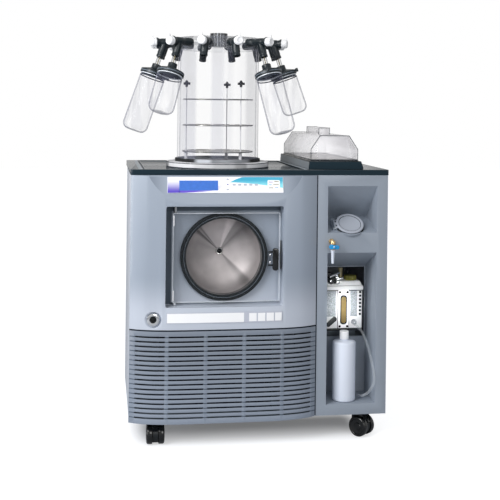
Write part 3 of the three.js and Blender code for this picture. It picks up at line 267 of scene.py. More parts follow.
def block(
    name: str, low: Point3, high: Point3, rounding: float = 0.0, segments: int = 2, place: Matrix = MACHINE,
) -> Piece:
    """A box with its edges rounded.

    Args:
        name: Name of the new object.
        low: Lower corner in millimetres.
        high: Upper corner in millimetres.
        rounding: Width of the rounding, or 0 for none.
        segments: Steps across the rounding.
        place: Where its origin lies.

    Returns:
        The closed solid.
    """
    bpy.ops.object.select_all(action="DESELECT")
    lo, hi = Vector(low) * MM, Vector(high) * MM
    bpy.ops.mesh.primitive_cube_add(size=1, location=(lo + hi) / 2, scale=hi - lo)
    obj = bpy.context.active_object
    obj.name = name
    obj.data.name = name
    bpy.ops.object.transform_apply(location=True, rotation=True, scale=True)
    edit(obj)
    if rounding:
        bpy.ops.mesh.bevel(offset=rounding * MM, segments=segments, affect="EDGES")
    return laid(done(obj), place)


def lathe(name: str, profile: Sequence[Point2], place: Matrix, steps: int = 64) -> Piece:
    """A profile turned about its place's local Z.

    Args:
        name: Name of the new object.
        profile: Points of radius and height in millimetres. It starts and ends on the axis, or is closed.
        place: Where the axis lies.
        steps: Sides of the turned piece.

    Returns:
        The closed solid.
    """
    obj = wire(name, [Vector((r, 0, h)) * MM for r, h in profile], profile[0][0] > 0)
    bpy.ops.mesh.spin(steps=steps, angle=math.tau, center=(0, 0, 0), axis=(0, 0, 1))
    return laid(done(obj), place)


def raised(height: float, profile: Iterable[Point2]) -> list[Point2]:
    """A profile moved up its axis."""
    return [(r, height + h) for r, h in profile]


def lobed(centre: Point2, radius: float, depth: float, lobes: int, steps: int) -> list[Point2]:
    """A round outline whose radius swings.

    Args:
        centre: Its middle.
        radius: Its mean radius.
        depth: How far the radius swings each way.
        lobes: Number of lobes.
        steps: Number of points.

    Returns:
        The points.
    """
    turns = [math.tau * i / steps for i in range(steps)]
    reach = [radius + depth * math.cos(lobes * a) for a in turns]
    return [(centre[0] + r * math.cos(a), centre[1] + r * math.sin(a)) for r, a in zip(reach, turns)]


def disc(
    name: str, radius: float, low: float, high: float, place: Matrix, rounding: float = 0.8, steps: int = 48,
) -> Piece:
    """A round boss with its rims rounded.

    Args:
        name: Name of the new object.
        radius: Its radius.
        low: Its lower height.
        high: Its upper height.
        place: Where the axis lies.
        rounding: Width of the rounding.
        steps: Sides of the boss.

    Returns:
        The closed solid.
    """
    r, k = radius, rounding
    profile = [(0, low), (r - k, low), (r - k * 0.3, low + k * 0.3), (r, low + k), (r, high - k)]
    profile += [(r - k * 0.3, high - k * 0.3), (r - k, high), (0, high)]
    return lathe(name, profile, place, steps)


def arc(centre: Point2, radius: float, start: float, end: float, steps: int = 6) -> list[Point2]:
    """Points on an arc.

    Args:
        centre: Middle of the arc.
        radius: Its radius.
        start: First angle in degrees.
        end: Last angle in degrees.
        steps: Steps between them.

    Returns:
        The points, both ends included.
    """
    angles = [math.radians(start + (end - start) * i / steps) for i in range(steps + 1)]
    return [(centre[0] + radius * math.cos(a), centre[1] + radius * math.sin(a)) for a in angles]


def spread(start: float, end: float, steps: int) -> list[float]:
    """Values at equal steps from start to end."""
    return [start + (end - start) * i / steps for i in range(steps + 1)]


def rectangle(low: Point2, high: Point2) -> list[Point2]:
    """Outline of a rectangle."""
    return [low, (high[0], low[1]), high, (low[0], high[1])]


def rounded_rectangle(low: Point2, high: Point2, radius: float, steps: int = 5) -> list[Point2]:
    """Outline of a rectangle with round corners.

    Args:
        low: Lower corner.
        high: Upper corner.
        radius: Radius of the corners.
        steps: Steps round each corner.

    Returns:
        The points.
    """
    (x0, y0), (x1, y1) = low, high
    corners = [((x1 - radius, y1 - radius), 0), ((x0 + radius, y1 - radius), 90)]
    corners += [((x0 + radius, y0 + radius), 180), ((x1 - radius, y0 + radius), 270)]
    return [point for centre, start in corners for point in arc(centre, radius, start, start + 90, steps)]


def cut(obj: Piece, *tools: Piece) -> Piece:
    """Cuts tools out of a solid and throws the tools away.

    Args:
        obj: The solid.
        tools: What is cut out of it.

    Returns:
        The same object.
    """
    for tool in tools:
        modify(obj, "BOOLEAN", object=tool, operation="DIFFERENCE", solver="EXACT")
        bpy.data.objects.remove(tool)
    return obj


def welded(obj: Piece, *others: Piece) -> Piece:
    """Joins solids into one and throws the others away.

    Args:
        obj: The solid that grows.
        others: What joins it.

    Returns:
        The same object.
    """
    for other in others:
        modify(obj, "BOOLEAN", object=other, operation="UNION", solver="EXACT")
        bpy.data.objects.remove(other)
    return obj


def gathered(obj: Piece, *others: Piece) -> Piece:
    """Puts several meshes into one object without cutting them.

    Args:
        obj: The object that keeps its name.
        others: What it takes in.

    Returns:
        The same object.
    """
    focus(obj)
    for other in others:
        other.select_set(True)
    bpy.ops.object.join()
    return obj


def refined(node: str, name: str, width: float, segments: int = 2, angle: float = 30) -> Piece:
    """A copy of a CAD node's mesh with its flats merged and its edges rounded.

    Args:
        node: The CAD node that is copied.
        name: Name of the copy.
        width: Width of the rounding in millimetres, or 0 for none.
        segments: Steps across the rounding.
        angle: Least angle between faces that is rounded, in degrees.

    Returns:
        The copy, closed and standing at the origin.
    """
    copy = bpy.data.objects.new(name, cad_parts[node].data.copy())
    copy.data.name = name
    bpy.context.collection.objects.link(copy)
    copy.data.materials.clear()
    edit(copy)
    if copy.data.has_custom_normals:
        bpy.ops.mesh.customdata_custom_splitnormals_clear()
    bpy.ops.mesh.remove_doubles(threshold=CAD_WELD)
    bpy.ops.mesh.dissolve_limited(angle_limit=math.radians(1))
    done(copy)
    if width:
        rounded(copy, width, segments, angle)
    return copy


# ---------------- finishes
COAT_ROUGHNESS = 0.12
ROUGHNESS_SWING = 0.18
RELIEF = 0.0003
WARM = (1, 0.985, 0.96)


def linear(colour: str) -> Colour:
    """The scene's linear colour of a hexadecimal display colour."""
    channels = [int(colour[i:i + 2], 16) / 255 for i in (1, 3, 5)]
    return (*(c / 12.92 if c <= 0.04045 else ((c + 0.055) / 1.055) ** 2.4 for c in channels), 1.0)


class Graph:
    """A node tree, with one short way to add nodes and to link or set their inputs."""

    def __init__(self, tree: bpy.types.NodeTree) -> None:
        self.nodes = tree.nodes
        self._link = tree.links.new

    def add(self, kind: str, inputs: Optional[dict] = None, **settings: object) -> bpy.types.Node:
        """Adds a node.

        Args:
            kind: The node's type, such as Math.
            inputs: Sockets to link and constants to set, by the input's name or number.
            settings: The node's own settings.

        Returns:
            The node.
        """
        node = self.nodes.new(f"ShaderNode{kind}")
        for key, value in settings.items():
            setattr(node, key, value)
        self.feed(node, inputs or {})
        return node

    def feed(self, node: bpy.types.Node, inputs: dict) -> None:
        """Links sockets to a node's inputs, and sets constants on them.

        Args:
            node: The node.
            inputs: Sockets and constants by the input's name or number.
        """
        for key, value in inputs.items():
            if isinstance(value, Socket):
                self._link(value, node.inputs[key])
            else:
                node.inputs[key].default_value = value

    def place(self) -> Socket:
        """The object's own coordinates."""
        return self.add("TexCoord").outputs["Object"]

    def maths(self, operation: str, *values: object) -> Socket:
        """The result of an operation on sockets and constants."""
        return self.add("Math", dict(enumerate(values)), operation=operation).outputs[0]

    def vector(self, operation: str, result: str, inputs: dict) -> Socket:
        """The named result of an operation on vectors."""
        return self.add("VectorMath", inputs, operation=operation).outputs[result]

    def ranged(self, value: Socket, given: Point2, made: Point2) -> Socket:
        """A value mapped smoothly from one range to another.

        Args:
            value: The value.
            given: Its range.
            made: The new range.

        Returns:
            The new value.
        """
        limits = {"From Min": given[0], "From Max": given[1], "To Min": made[0], "To Max": made[1]}
        node = self.add("MapRange", {"Value": value, **limits}, interpolation_type="SMOOTHSTEP")
        return node.outputs["Result"]

    def around(self, mapping: dict, steps: Sequence[tuple[float, Colour]]) -> Socket:
        """A colour that runs round Z after a mapping.

        Args:
            mapping: Inputs of the mapping.
            steps: Share of a turn and colour of each step.

        Returns:
            The colour.
        """
        turn = self.add("TexGradient", {"Vector": self.mapped(mapping)}, gradient_type="RADIAL")
        ramp = self.add("ValToRGB", {"Fac": turn.outputs["Fac"]})
        elements = ramp.color_ramp.elements
        for share, _ in steps[1:-1]:
            elements.new(share)
        for element, (share, colour) in zip(elements, steps):
            element.position = share
            element.color = colour
        return ramp.outputs["Color"]

    def mapped(self, mapping: dict) -> Socket:
        """The object's own coordinates after a mapping."""
        return self.add("Mapping", {"Vector": self.place(), **mapping}).outputs["Vector"]


def surface_group() -> bpy.types.NodeTree:
    """The node group that varies a colour and a roughness over a surface and gives its fine relief.

    Returns:
        The group, made once: Color, Roughness and Height out of Vector, Color, Mottle, Grain and Roughness.
    """
    known = bpy.data.node_groups.get("surface_variation")
    if known:
        return known
    group = bpy.data.node_groups.new("surface_variation", "ShaderNodeTree")
    sockets = [("Vector", "INPUT", "Vector"), ("Color", "INPUT", "Color")]
    sockets += [(name, "INPUT", "Float") for name in ("Mottle", "Mottle Scale", "Grain Scale", "Roughness")]
    sockets += [("Color", "OUTPUT", "Color")]
    sockets += [(name, "OUTPUT", "Float") for name in ("Roughness", "Height")]
    for name, way, kind in sockets:
        group.interface.new_socket(name, in_out=way, socket_type=f"NodeSocket{kind}")
    graph = Graph(group)
    given, made = group.nodes.new("NodeGroupInput").outputs, group.nodes.new("NodeGroupOutput")
    noises = [
        graph.add("TexNoise", {"Vector": given["Vector"], "Scale": given[scale], "Detail": detail})
        for scale, detail in (("Mottle Scale", 3), ("Grain Scale", 2))
    ]
    broad, fine = (noise.outputs["Fac"] for noise in noises)
    swing = graph.maths("SUBTRACT", broad, 0.5)
    share = graph.maths("MULTIPLY_ADD", swing, given["Mottle"], 1.0)
    graph.feed(made, {
        "Color": graph.vector("SCALE", "Vector", {0: given["Color"], "Scale": share}),
        "Roughness": graph.maths("MULTIPLY_ADD", swing, ROUGHNESS_SWING, given["Roughness"]),
        "Height": fine,
    })
    return group


@dataclass(frozen=True)
class Finish:
    """A surface finish: its colour, its gloss, how far both wander and how fine its relief is."""

    name: str
    colour: str
    roughness: float = 0.5
    metallic: float = 0.0
    mottle: float = 0.12
    mottle_scale: float = 6
    grain: float = 0.15
    grain_scale: float = 900
    stretch: Point3 = (1, 1, 1)
    coat: float = 0.0
    specular: float = 0.5

    def material(self) -> bpy.types.Material:
        """The finish's material, made once."""
        known = bpy.data.materials.get(self.name)
        return known or self._made()

    def _made(self) -> bpy.types.Material:
        """Builds the material's nodes.

        Returns:
            The material.
        """
        material = bpy.data.materials.new(self.name)
        material.use_nodes = True
        material.diffuse_color = linear(self.colour)
        graph = Graph(material.node_tree)
        shader = graph.nodes["Principled BSDF"]
        varied = graph.add("Group", {
            "Vector": graph.mapped({"Scale": self.stretch}), "Color": linear(self.colour),
            "Mottle": self.mottle, "Mottle Scale": self.mottle_scale,
            "Grain Scale": self.grain_scale, "Roughness": self.roughness,
        }, node_tree=surface_group()).outputs
        relief = {"Strength": self.grain, "Distance": RELIEF, "Height": varied["Height"]}
        graph.feed(shader, {
            "Metallic": self.metallic, "Coat Weight": self.coat, "Coat Roughness": COAT_ROUGHNESS,
            "Specular IOR Level": self.specular, "Base Color": varied["Color"],
            "Roughness": varied["Roughness"], "Normal": graph.add("Bump", relief).outputs["Normal"],
        })
        self._shaded(graph, shader)
        return material

    def _shaded(self, graph: Graph, shader: bpy.types.Node) -> None:
        """Leaves the shader as it is. A finish with more to it adds that here."""


@dataclass(frozen=True)
class ClearFinish(Finish):
    """A thin clear sheet, which thickens to its own colour edge on and may have painted streaks or bands of
    reflection.
    """

    roughness: float = 0.08
    mottle: float = 0.05
    grain: float = 0.02
    face_alpha: float = 0.03
    edge_alpha: float = 0.85
    edge_start: float = 0.6
    streak: float = 0.0
    streak_scale: float = 9
    centre: Point2 = (0, 0)
    bands: tuple[Point2, ...] = ()

    def _made(self) -> bpy.types.Material:
        """Builds the material's nodes and lets what lies behind show.

        Returns:
            The material.
        """
        material = super()._made()
        material.surface_render_method = "BLENDED"
        return material

    def _shaded(self, graph: Graph, shader: bpy.types.Node) -> None:
        """Drives the alpha by how far the surface turns away, and by painted upright streaks or bands of
        reflection.

        Args:
            graph: The material's nodes.
            shader: Its Principled shader.
        """
        facing = graph.add("LayerWeight", {"Blend": 0.5}).outputs["Facing"]
        rim = graph.ranged(facing, (self.edge_start, 1.0), (self.face_alpha, self.edge_alpha))
        lines = self._banded(graph) if self.bands else self._streaked(graph)
        graph.feed(shader, {"Alpha": graph.maths("ADD", rim, lines)})

    def _streaked(self, graph: Graph) -> Socket:
        """Painted upright streaks of reflection at no set places.

        Args:
            graph: The material's nodes.

        Returns:
            Their alpha.
        """
        drawn = graph.mapped({"Scale": (1, 1, 0.03)})
        noise = graph.add("TexNoise", {"Vector": drawn, "Scale": self.streak_scale, "Detail": 1})
        return graph.ranged(noise.outputs["Fac"], (0.44, 0.56), (0.0, self.streak))

    def _banded(self, graph: Graph) -> Socket:
        """Painted upright bands of reflection round an upright axis, as steps of share of a turn and
        strength.

        Args:
            graph: The material's nodes.

        Returns:
            Their alpha.
        """
        middle = spot(*self.centre, 0)
        steps = [(share, (level, level, level, 1)) for share, level in self.bands]
        return graph.around({"Location": (-middle.x, -middle.y, 0)}, steps)


@dataclass(frozen=True)
class FadeFinish(Finish):
    """A colour that fades to a second colour along an axis, between two places in metres: print on the
    keypad, painted shade on the mouldings.
    """

    fade_to: str = "#ffffff"
    axis: str = "Z"
    start: float = 0.0
    end: float = 1.0

    def _shaded(self, graph: Graph, shader: bpy.types.Node) -> None:
        """Mixes the second colour in.

        Args:
            graph: The material's nodes.
            shader: Its Principled shader.
        """
        along = graph.add("SeparateXYZ", {"Vector": graph.place()}).outputs[self.axis]
        mix = graph.add("MixRGB", {
            "Fac": graph.ranged(along, (self.start, self.end), (0.0, 1.0)),
            "Color1": shader.inputs["Base Color"].links[0].from_socket, "Color2": linear(self.fade_to),
        })
        graph.feed(shader, {"Base Color": mix.outputs["Color"]})


@dataclass(frozen=True)
class FanFinish(Finish):
    """A round piece with a painted sheen that fans out from its axis, Y or Z, as steps of share of a turn and
    grey. The fall paints shade on it from one radius to another, in metres, to a last level.
    """

    centre: Point2 = (0, 0)
    fans: tuple[Point2, ...] = ((0, 1), (1, 1))
    upright: bool = False
    fall: Point3 = (1, 2, 1)

    def _shaded(self, graph: Graph, shader: bpy.types.Node) -> None:
        """Multiplies the colour by the painted sheen of the fans and by the painted shade of the fall.

        Args:
            graph: The material's nodes.
            shader: Its Principled shader.
        """
        if self.upright:
            middle = spot(*self.centre, 0)
            mapping = {"Location": (-middle.x, -middle.y, 0)}
        else:
            middle = spot(self.centre[0], 0, self.centre[1])
            mapping = {"Location": (-middle.x, middle.z, 0), "Rotation": (math.pi / 2, 0, 0)}
        steps = [(share, (*(grey * part for part in WARM), 1)) for share, grey in self.fans]
        sheen = graph.around(mapping, steps)
        flat = graph.vector("MULTIPLY", "Vector", {0: graph.mapped(mapping), 1: (1, 1, 0)})
        level = graph.ranged(graph.vector("LENGTH", "Value", {0: flat}), self.fall[:2], (1.0, self.fall[2]))
        mix = graph.add("MixRGB", {
            "Fac": 1, "Color1": shader.inputs["Base Color"].links[0].from_socket,
            "Color2": graph.vector("SCALE", "Vector", {0: sheen, "Scale": level}),
        }, blend_type="MULTIPLY")
        graph.feed(shader, {"Base Color": mix.outputs["Color"]})


# Painted shade: the fascia's silver paint turns darker towards the top, between heights of 0.46 m and 0.62 m.
SILVER = FadeFinish(
    "silver_paint_painted_shade", "#bcc3cf", 0.4, coat=0.2, mottle=0.06, fade_to="#939dab", start=0.46, end=0.62,
)
# Painted shade: the grille's paint turns darker towards the top, between heights of 0.1 m and 0.4 m.
GRILLE_GREY = FadeFinish(
    "grille_paint_painted_shade", "#8791a0", 0.45, coat=0.1, mottle=0.06, fade_to="#7a8390", start=0.1, end=0.4,
)
SILVER_SIDE = Finish("silver_sheet", "#c8ced8", 0.45, coat=0.15)
TOWER_GREY = Finish("tower_paint", "#8e97a3", 0.48, coat=0.1)
SLATE = Finish("worktop_slate", "#182a35", 0.5, mottle=0.2, grain=0.05, coat=0.75, specular=0.15)
STEEL = Finish("spun_steel", "#b5b3b0", 0.28, 1.0, mottle=0.25, mottle_scale=14, stretch=(1, 1, 6))
CHROME = Finish("bright_chrome", "#e2e4e6", 0.08, 1.0, mottle=0.06, grain=0.02)
FRAME_GREY = Finish("chassis_paint", "#6e767f", 0.55, 0.4)
RUBBER = Finish("black_rubber", "#172126", 0.36, mottle=0.2, grain=0.2, specular=0.45)
BLACK = Finish("moulded_black", "#12171a", 0.35, mottle=0.15, coat=0.15, specular=0.35)
GLOSS_BLACK = Finish("glossy_black", "#07090a", 0.16, mottle=0.1, grain=0.05, coat=0.5, specular=0.3)
SEAM_DARK = Finish("seam_shadow", "#141b24", 0.7, specular=0.1)
BORE_BLACK = Finish("bore_shadow", "#020304", 0.9, specular=0.0)
GASKET_BLACK = Finish("gasket_black", "#0b1216", 0.6, specular=0.15)
EDGE_GREY = Finish("dark_edge", "#343b44", 0.5, mottle=0.2, specular=0.2)
# Painted highlights on the door's edges and below the flask caps.
EDGE_HIGHLIGHT = Finish("edge_highlight", "#dde3ea", 0.25, mottle=0.05)
WHITE = Finish("moulded_white", "#f3f4f6", 0.35, mottle=0.04)
MEMBRANE = Finish("keypad_film", "#f6f7fb", 0.3, mottle=0.03, coat=0.3)
STRIP_SILVER = Finish("strip_silver", "#b9bdca", 0.4, mottle=0.05)
BRASS = Finish("turned_brass", "#cdb488", 0.3, 1.0)
BLUE = Finish("moulded_blue", "#1290cf", 0.35)
PUMP_WHITE = Finish("pump_enamel", "#dcdddd", 0.4, mottle=0.12, grain=0.3, grain_scale=400)
# Painted shade: the condenser's fins are near black so that the grille's slots read dark.
FINS = Finish("fins_painted_shadow", "#10161c", 0.6, 0.2, specular=0.15)
COMPRESSOR_BLACK = Finish("compressor_paint", "#14171a", 0.35)
# Painted reflections: upright bands at fixed angles round the drum's axis, in its alpha.
DRUM_CLEAR = ClearFinish(
    "drum_acrylic", "#8d90a6", face_alpha=0.006, edge_alpha=0.34, edge_start=0.66, centre=DRUM_AXIS,
    bands=(
        (0, 0.16), (0.135, 0.16), (0.145, 0), (0.2, 0), (0.21, 0.13), (0.25, 0.13), (0.26, 0.03),
        (0.275, 0.07), (0.3, 0.01), (0.345, 0.04), (0.358, 0.16), (0.5, 0.16), (0.53, 0.01), (1, 0.01),
    ),
)
# Painted streaks of reflection in the flask glass.
GLASS = ClearFinish(
    "clear_borosilicate", "#8b8ea4", face_alpha=0.015, edge_alpha=0.85, edge_start=0.58,
    streak=0.06, streak_scale=36,
)
# Painted reflections: bright and dark fans round the drum's axis on the polished plate.
PLATE = FanFinish(
    "base_plate_steel", "#e4e6ec", 0.4, mottle=0.06, specular=0.3, centre=DRUM_AXIS, upright=True,
    fans=(
        (0, 0.3), (0.03, 0.3), (0.045, 1), (0.15, 1), (0.165, 0.8), (0.215, 0.78), (0.225, 0.68),
        (0.28, 0.7), (0.29, 0.55), (0.32, 0.55), (0.33, 1.03), (0.45, 1.03), (0.47, 0.3), (0.5, 0.3),
        (0.55, 0.9), (1, 0.9),
    ),
)
EDGE_NAVY = Finish("edge_navy", "#1a2b34", 0.6, mottle=0.15, specular=0.12)
# Painted shade: a clear sheet round the plate's rim that turns dark where it is seen edge on.
PLATE_EDGE_SHADE = ClearFinish("plate_edge_shade", "#272d35", face_alpha=0.0, edge_alpha=0.95, edge_start=0.78)
# Painted light and shade: fans round the drum's axis paint the seal pale at its front and back and near black
# at its sides.
SEAL_RUBBER = FanFinish(
    "seal_rubber", "#c3c8d1", 0.6, mottle=0.1, specular=0.1, centre=DRUM_AXIS, upright=True,
    fans=(
        (0, 0.04), (0.14, 0.04), (0.16, 0.9), (0.2, 1), (0.215, 0.4), (0.26, 0.6), (0.35, 0.4), (0.37, 0.04),
        (0.5, 0.04), (0.54, 0.9), (0.96, 0.9), (1, 0.04),
    ),
)
# Painted highlights: upright bands of light round the drum's axis on the glossy plug.
PLUG_GLOSS = FanFinish(
    "plug_gloss", "#a9aeb6", 0.2, mottle=0.1, coat=0.4, centre=DRUM_AXIS, upright=True,
    fans=(
        (0, 0.05), (0.12, 0.05), (0.135, 0.6), (0.15, 0.08), (0.19, 0.06), (0.2, 0.9), (0.212, 1),
        (0.222, 0.1), (0.25, 0.06), (0.262, 0.8), (0.28, 0.1), (0.32, 0.5), (0.35, 0.08), (1, 0.05),
    ),
)
ROD_STEEL = Finish("rod_steel", "#eeeff3", 0.4, mottle=0.05)
# Painted shadow for the chamber's recess: sheets on its left and top walls, and a frame round its back wall.
RECESS_SHADE = Finish("recess_shade", "#1c252d", 0.6, mottle=0.2, specular=0.2)
RECESS_DIM = Finish("recess_dim", "#56616d", 0.55, mottle=0.3, specular=0.2)
DOOR_CLEAR = ClearFinish("door_acrylic", "#c8d0d8", face_alpha=0.012, edge_alpha=0.4, edge_start=0.3)
# Painted streaks of reflection in the bath cover.
COVER_CLEAR = ClearFinish(
    "cover_acrylic", "#fdfbff", face_alpha=0.17, edge_alpha=0.5, edge_start=0.65, streak=0.1,
)
LID_GREY = Finish("lid_paint", "#abb1bc", 0.4, mottle=0.08)
# Painted lines of light: between the gasket's lips and between the flask caps' lips.
LINE_GREY = Finish("dim_line", "#77818d", 0.4, mottle=0.1)
RIB_SHADE = Finish("rib_shade", "#525c69", 0.55, mottle=0.1, specular=0.2)
# Painted light: the lit left side of the bath's black frame.
BATH_SIDE_LIGHT = Finish("bath_side_painted_light", "#757c82", 0.5, mottle=0.25)
# Painted reflection: pale bands on the worktop beside the well.
WELL_REFLECTION = Finish("well_edge_reflection", "#a3aab1", 0.5, mottle=0.15)
# Painted reflections fan out from the chamber's axis, and the fall paints shade towards its rim.
CHAMBER_STEEL = FanFinish(
    "chamber_steel", "#beb9bb", 0.5, 0.3, mottle=0.9, mottle_scale=13, grain=0.2, centre=CHAMBER_AXIS,
    fans=(
        (0, 0.85), (0.06, 0.7), (0.1, 0.9), (0.116, 0.25), (0.123, 0.25), (0.13, 0.85), (0.14, 0.35),
        (0.15, 1.05), (0.2, 1.1), (0.27, 1.15), (0.29, 1.6), (0.315, 1.5), (0.325, 0.7), (0.35, 0.75),
        (0.37, 0.5), (0.4, 0.8), (0.44, 1.1), (0.49, 1.2), (0.56, 1.3), (0.61, 1.3), (0.625, 0.6),
        (0.64, 0.6), (0.67, 1), (0.75, 1.1), (0.86, 1.1), (0.93, 0.95), (1, 0.85),
    ),
    fall=(0.1, 0.138, 0.6),
)
MILKY = Finish("milky_plastic", "#dde4f1", 0.35, mottle=0.05)
OIL = Finish("amber_oil", "#75633a", 0.15, mottle=0.5, mottle_scale=60, coat=0.6)
OLIVE = Finish("olive_plastic", "#6d6a26", 0.45, mottle=0.3, mottle_scale=60)
TAN = Finish("tan_brass", "#8f8668", 0.4, 0.3, mottle=0.3, mottle_scale=60)
MOTOR_GREY = Finish("motor_casting", "#5d666d", 0.55, 0.3, mottle=0.25, grain=0.4, grain_scale=300)
LABEL = Finish("printed_plate", "#8c9297", 0.5, mottle=2.4, mottle_scale=190)
FRAME_BLACK = Finish("bath_moulding", "#121f26", 0.42, mottle=0.2, grain=0.3, coat=0.2, specular=0.3)
# Painted streaks of reflection in the port ring and lid.
LID_CLEAR = ClearFinish("lid_acrylic", "#b4b8c4", face_alpha=0.05, edge_alpha=0.6, streak=0.08)
TUBE_GLASS = ClearFinish("tube_glass", "#2b323a", face_alpha=0.05, edge_alpha=0.98, edge_start=0.2)
HOSE_CLEAR = ClearFinish("hose_vinyl", "#e0e6ea", face_alpha=0.1, edge_alpha=0.9, edge_start=0.3)


def seated(
    obj: Piece, finish: Finish, nodes: Sequence[str] = (), crease: float = 35,
    body: str = "machine",
) -> Piece:
    """Finishes a piece: shades it, paints it and puts it on its CAD body.

    Args:
        obj: The piece.
        finish: Its surface finish.
        nodes: CAD nodes that it stands for.
        crease: Edges sharper than this angle, in degrees, stay sharp.
        body: The CAD body that carries it.

    Returns:
        The piece.
    """
    if obj.type == "MESH":
        focus(obj)
        bpy.ops.object.shade_smooth_by_angle(angle=math.radians(crease))
    obj.data.materials.clear()
    obj.data.materials.append(finish.material())
    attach(obj, body)
    if nodes:
        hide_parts(*nodes)
    LOG.info("%s rides on %s in %s", obj.name, body, finish.name)
    return obj


def dressed(node: str, finish: Finish) -> Piece:
    """Gives a CAD node that stays as it is its finish.

    Args:
        node: The node.
        finish: Its surface finish.

    Returns:
        The node's object.
    """
    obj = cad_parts[node]
    obj.data.materials.clear()
    obj.data.materials.append(finish.material())
    LOG.info("%s stays, in %s", node, finish.name)
    return obj


# ---------------- studio
@dataclass
class Studio:
    """Camera, lights, floor and world, in metres and radians from the worktop's middle."""

    camera_place: Point3 = (-0.5779, -3.8313, 1.2178)
    yaw: float = 0.1489
    roll: float = 0.0116
    lens: float = 71.01
    sensor: float = 36
    shift_y: float = -0.28666
    ambient: float = 0.42
    sheen: float = 0.62
    floor_size: float = 30
    floor_glow: float = 0.8
    floor_shade: float = 0.66
    shade_front: Point2 = (-0.36, -0.08)
    shade_back: Point2 = (-0.05, 0.1)
    shade_side: Point2 = (0.37, 0.48)
    lamps: tuple[tuple[str, Point3, Point3, float, float, float, float], ...] = (
        ("key", (-2.3, -2.4, 2.6), (0, 0, 0.8), 1.6, 1.6, 86, 180),
        ("fill", (0.7, -4.2, 1.6), (0, 0, 0.7), 1.4, 1.4, 26, 180),
        ("bay_lamp", (0.32, -0.74, 0.53), (0.335, -0.22, 0.47), 0.09, 0.1, 0.08, 16),
        ("left_strip", (-2.6, -1.4, 1.1), (-0.2, 0, 0.9), 0.3, 2.2, 20, 180),
    )

    def build(self) -> None:
        """Makes the camera, the floor, the world and the lights."""
        self._camera()
        self._floor()
        self._world()
        self._light()
        bpy.context.scene.view_settings.view_transform = "Standard"
        LOG.info("studio stands")

    def _camera(self) -> None:
        """The camera, ahead of the machine and to its left."""
        data = bpy.data.cameras.new("camera")
        data.lens, data.sensor_width, data.shift_y = self.lens, self.sensor, self.shift_y
        camera = bpy.data.objects.new("camera", data)
        bpy.context.collection.objects.link(camera)
        right = Vector((math.cos(self.yaw), -math.sin(self.yaw), 0))
        ahead = Vector((math.sin(self.yaw), math.cos(self.yaw), 0))
        up = Vector((0, 0, 1))
        x_axis = math.cos(self.roll) * right + math.sin(self.roll) * up
        y_axis = math.cos(self.roll) * up - math.sin(self.roll) * right
        turn = Matrix((x_axis, y_axis, -ahead)).transposed().to_4x4()
        camera.matrix_world = Matrix.Translation(ORIGIN + Vector(self.camera_place)) @ turn
        bpy.context.scene.camera = camera

    def _floor(self) -> None:
        """A wide pale floor that keeps the soft shadow, and has a painted shadow under the machine."""
        bpy.ops.mesh.primitive_grid_add(x_subdivisions=4, y_subdivisions=4, size=self.floor_size)
        floor = bpy.context.active_object
        floor.name = "floor"
        material = bpy.data.materials.new("floor_white")
        material.use_nodes = True
        graph = Graph(material.node_tree)
        split = graph.add("SeparateXYZ", {"Vector": graph.place()}).outputs
        deep = graph.ranged(split["Y"], self.shade_front, (0.0, -self.floor_shade))
        behind = graph.ranged(split["Y"], self.shade_back, (1.0, 0.0))
        wide = graph.ranged(graph.maths("ABSOLUTE", split["X"]), self.shade_side, (1.0, 0.0))
        glow = graph.maths("MULTIPLY_ADD", graph.maths("MULTIPLY", deep, behind), wide, self.floor_glow)
        seen = graph.add("LightPath").outputs["Is Camera Ray"]
        graph.feed(graph.nodes["Principled BSDF"], {
            "Base Color": linear("#b9bcc2"), "Roughness": 0.7, "Specular IOR Level": 0.2,
            "Emission Color": (1, 1, 1, 1), "Emission Strength": graph.maths("MULTIPLY", seen, glow),
        })
        floor.data.materials.append(material)

    def _world(self) -> None:
        """Soft light from all round, and plain white where the background shows."""
        world = bpy.data.worlds.new("studio")
        bpy.context.scene.world = world
        world.use_nodes = True
        graph = Graph(world.node_tree)
        path = graph.add("LightPath").outputs
        strength = path["Is Transmission Ray"]
        for kind, share in (("Is Camera Ray", 1.0), ("Is Glossy Ray", self.sheen)):
            strength = graph.maths("MAXIMUM", graph.maths("MULTIPLY", path[kind], share), strength)
        strength = graph.maths("MAXIMUM", strength, self.ambient)
        graph.feed(graph.nodes["Background"], {"Color": (1, 1, 1, 1), "Strength": strength})

    def _light(self) -> None:
        """The lamps: name, place, aim, width, height, power and spread in degrees."""
        for name, place, aim, width, height, power, spread in self.lamps:
            data = bpy.data.lights.new(name, "AREA")
            data.shape, data.size, data.size_y, data.energy = "RECTANGLE", width, height, power
            data.spread = math.radians(spread)
            lamp = bpy.data.objects.new(name, data)
            bpy.context.collection.objects.link(lamp)
            lamp.location = ORIGIN + Vector(place)
            lamp.rotation_euler = (ORIGIN + Vector(aim) - lamp.location).to_track_quat("-Z", "Y").to_euler()


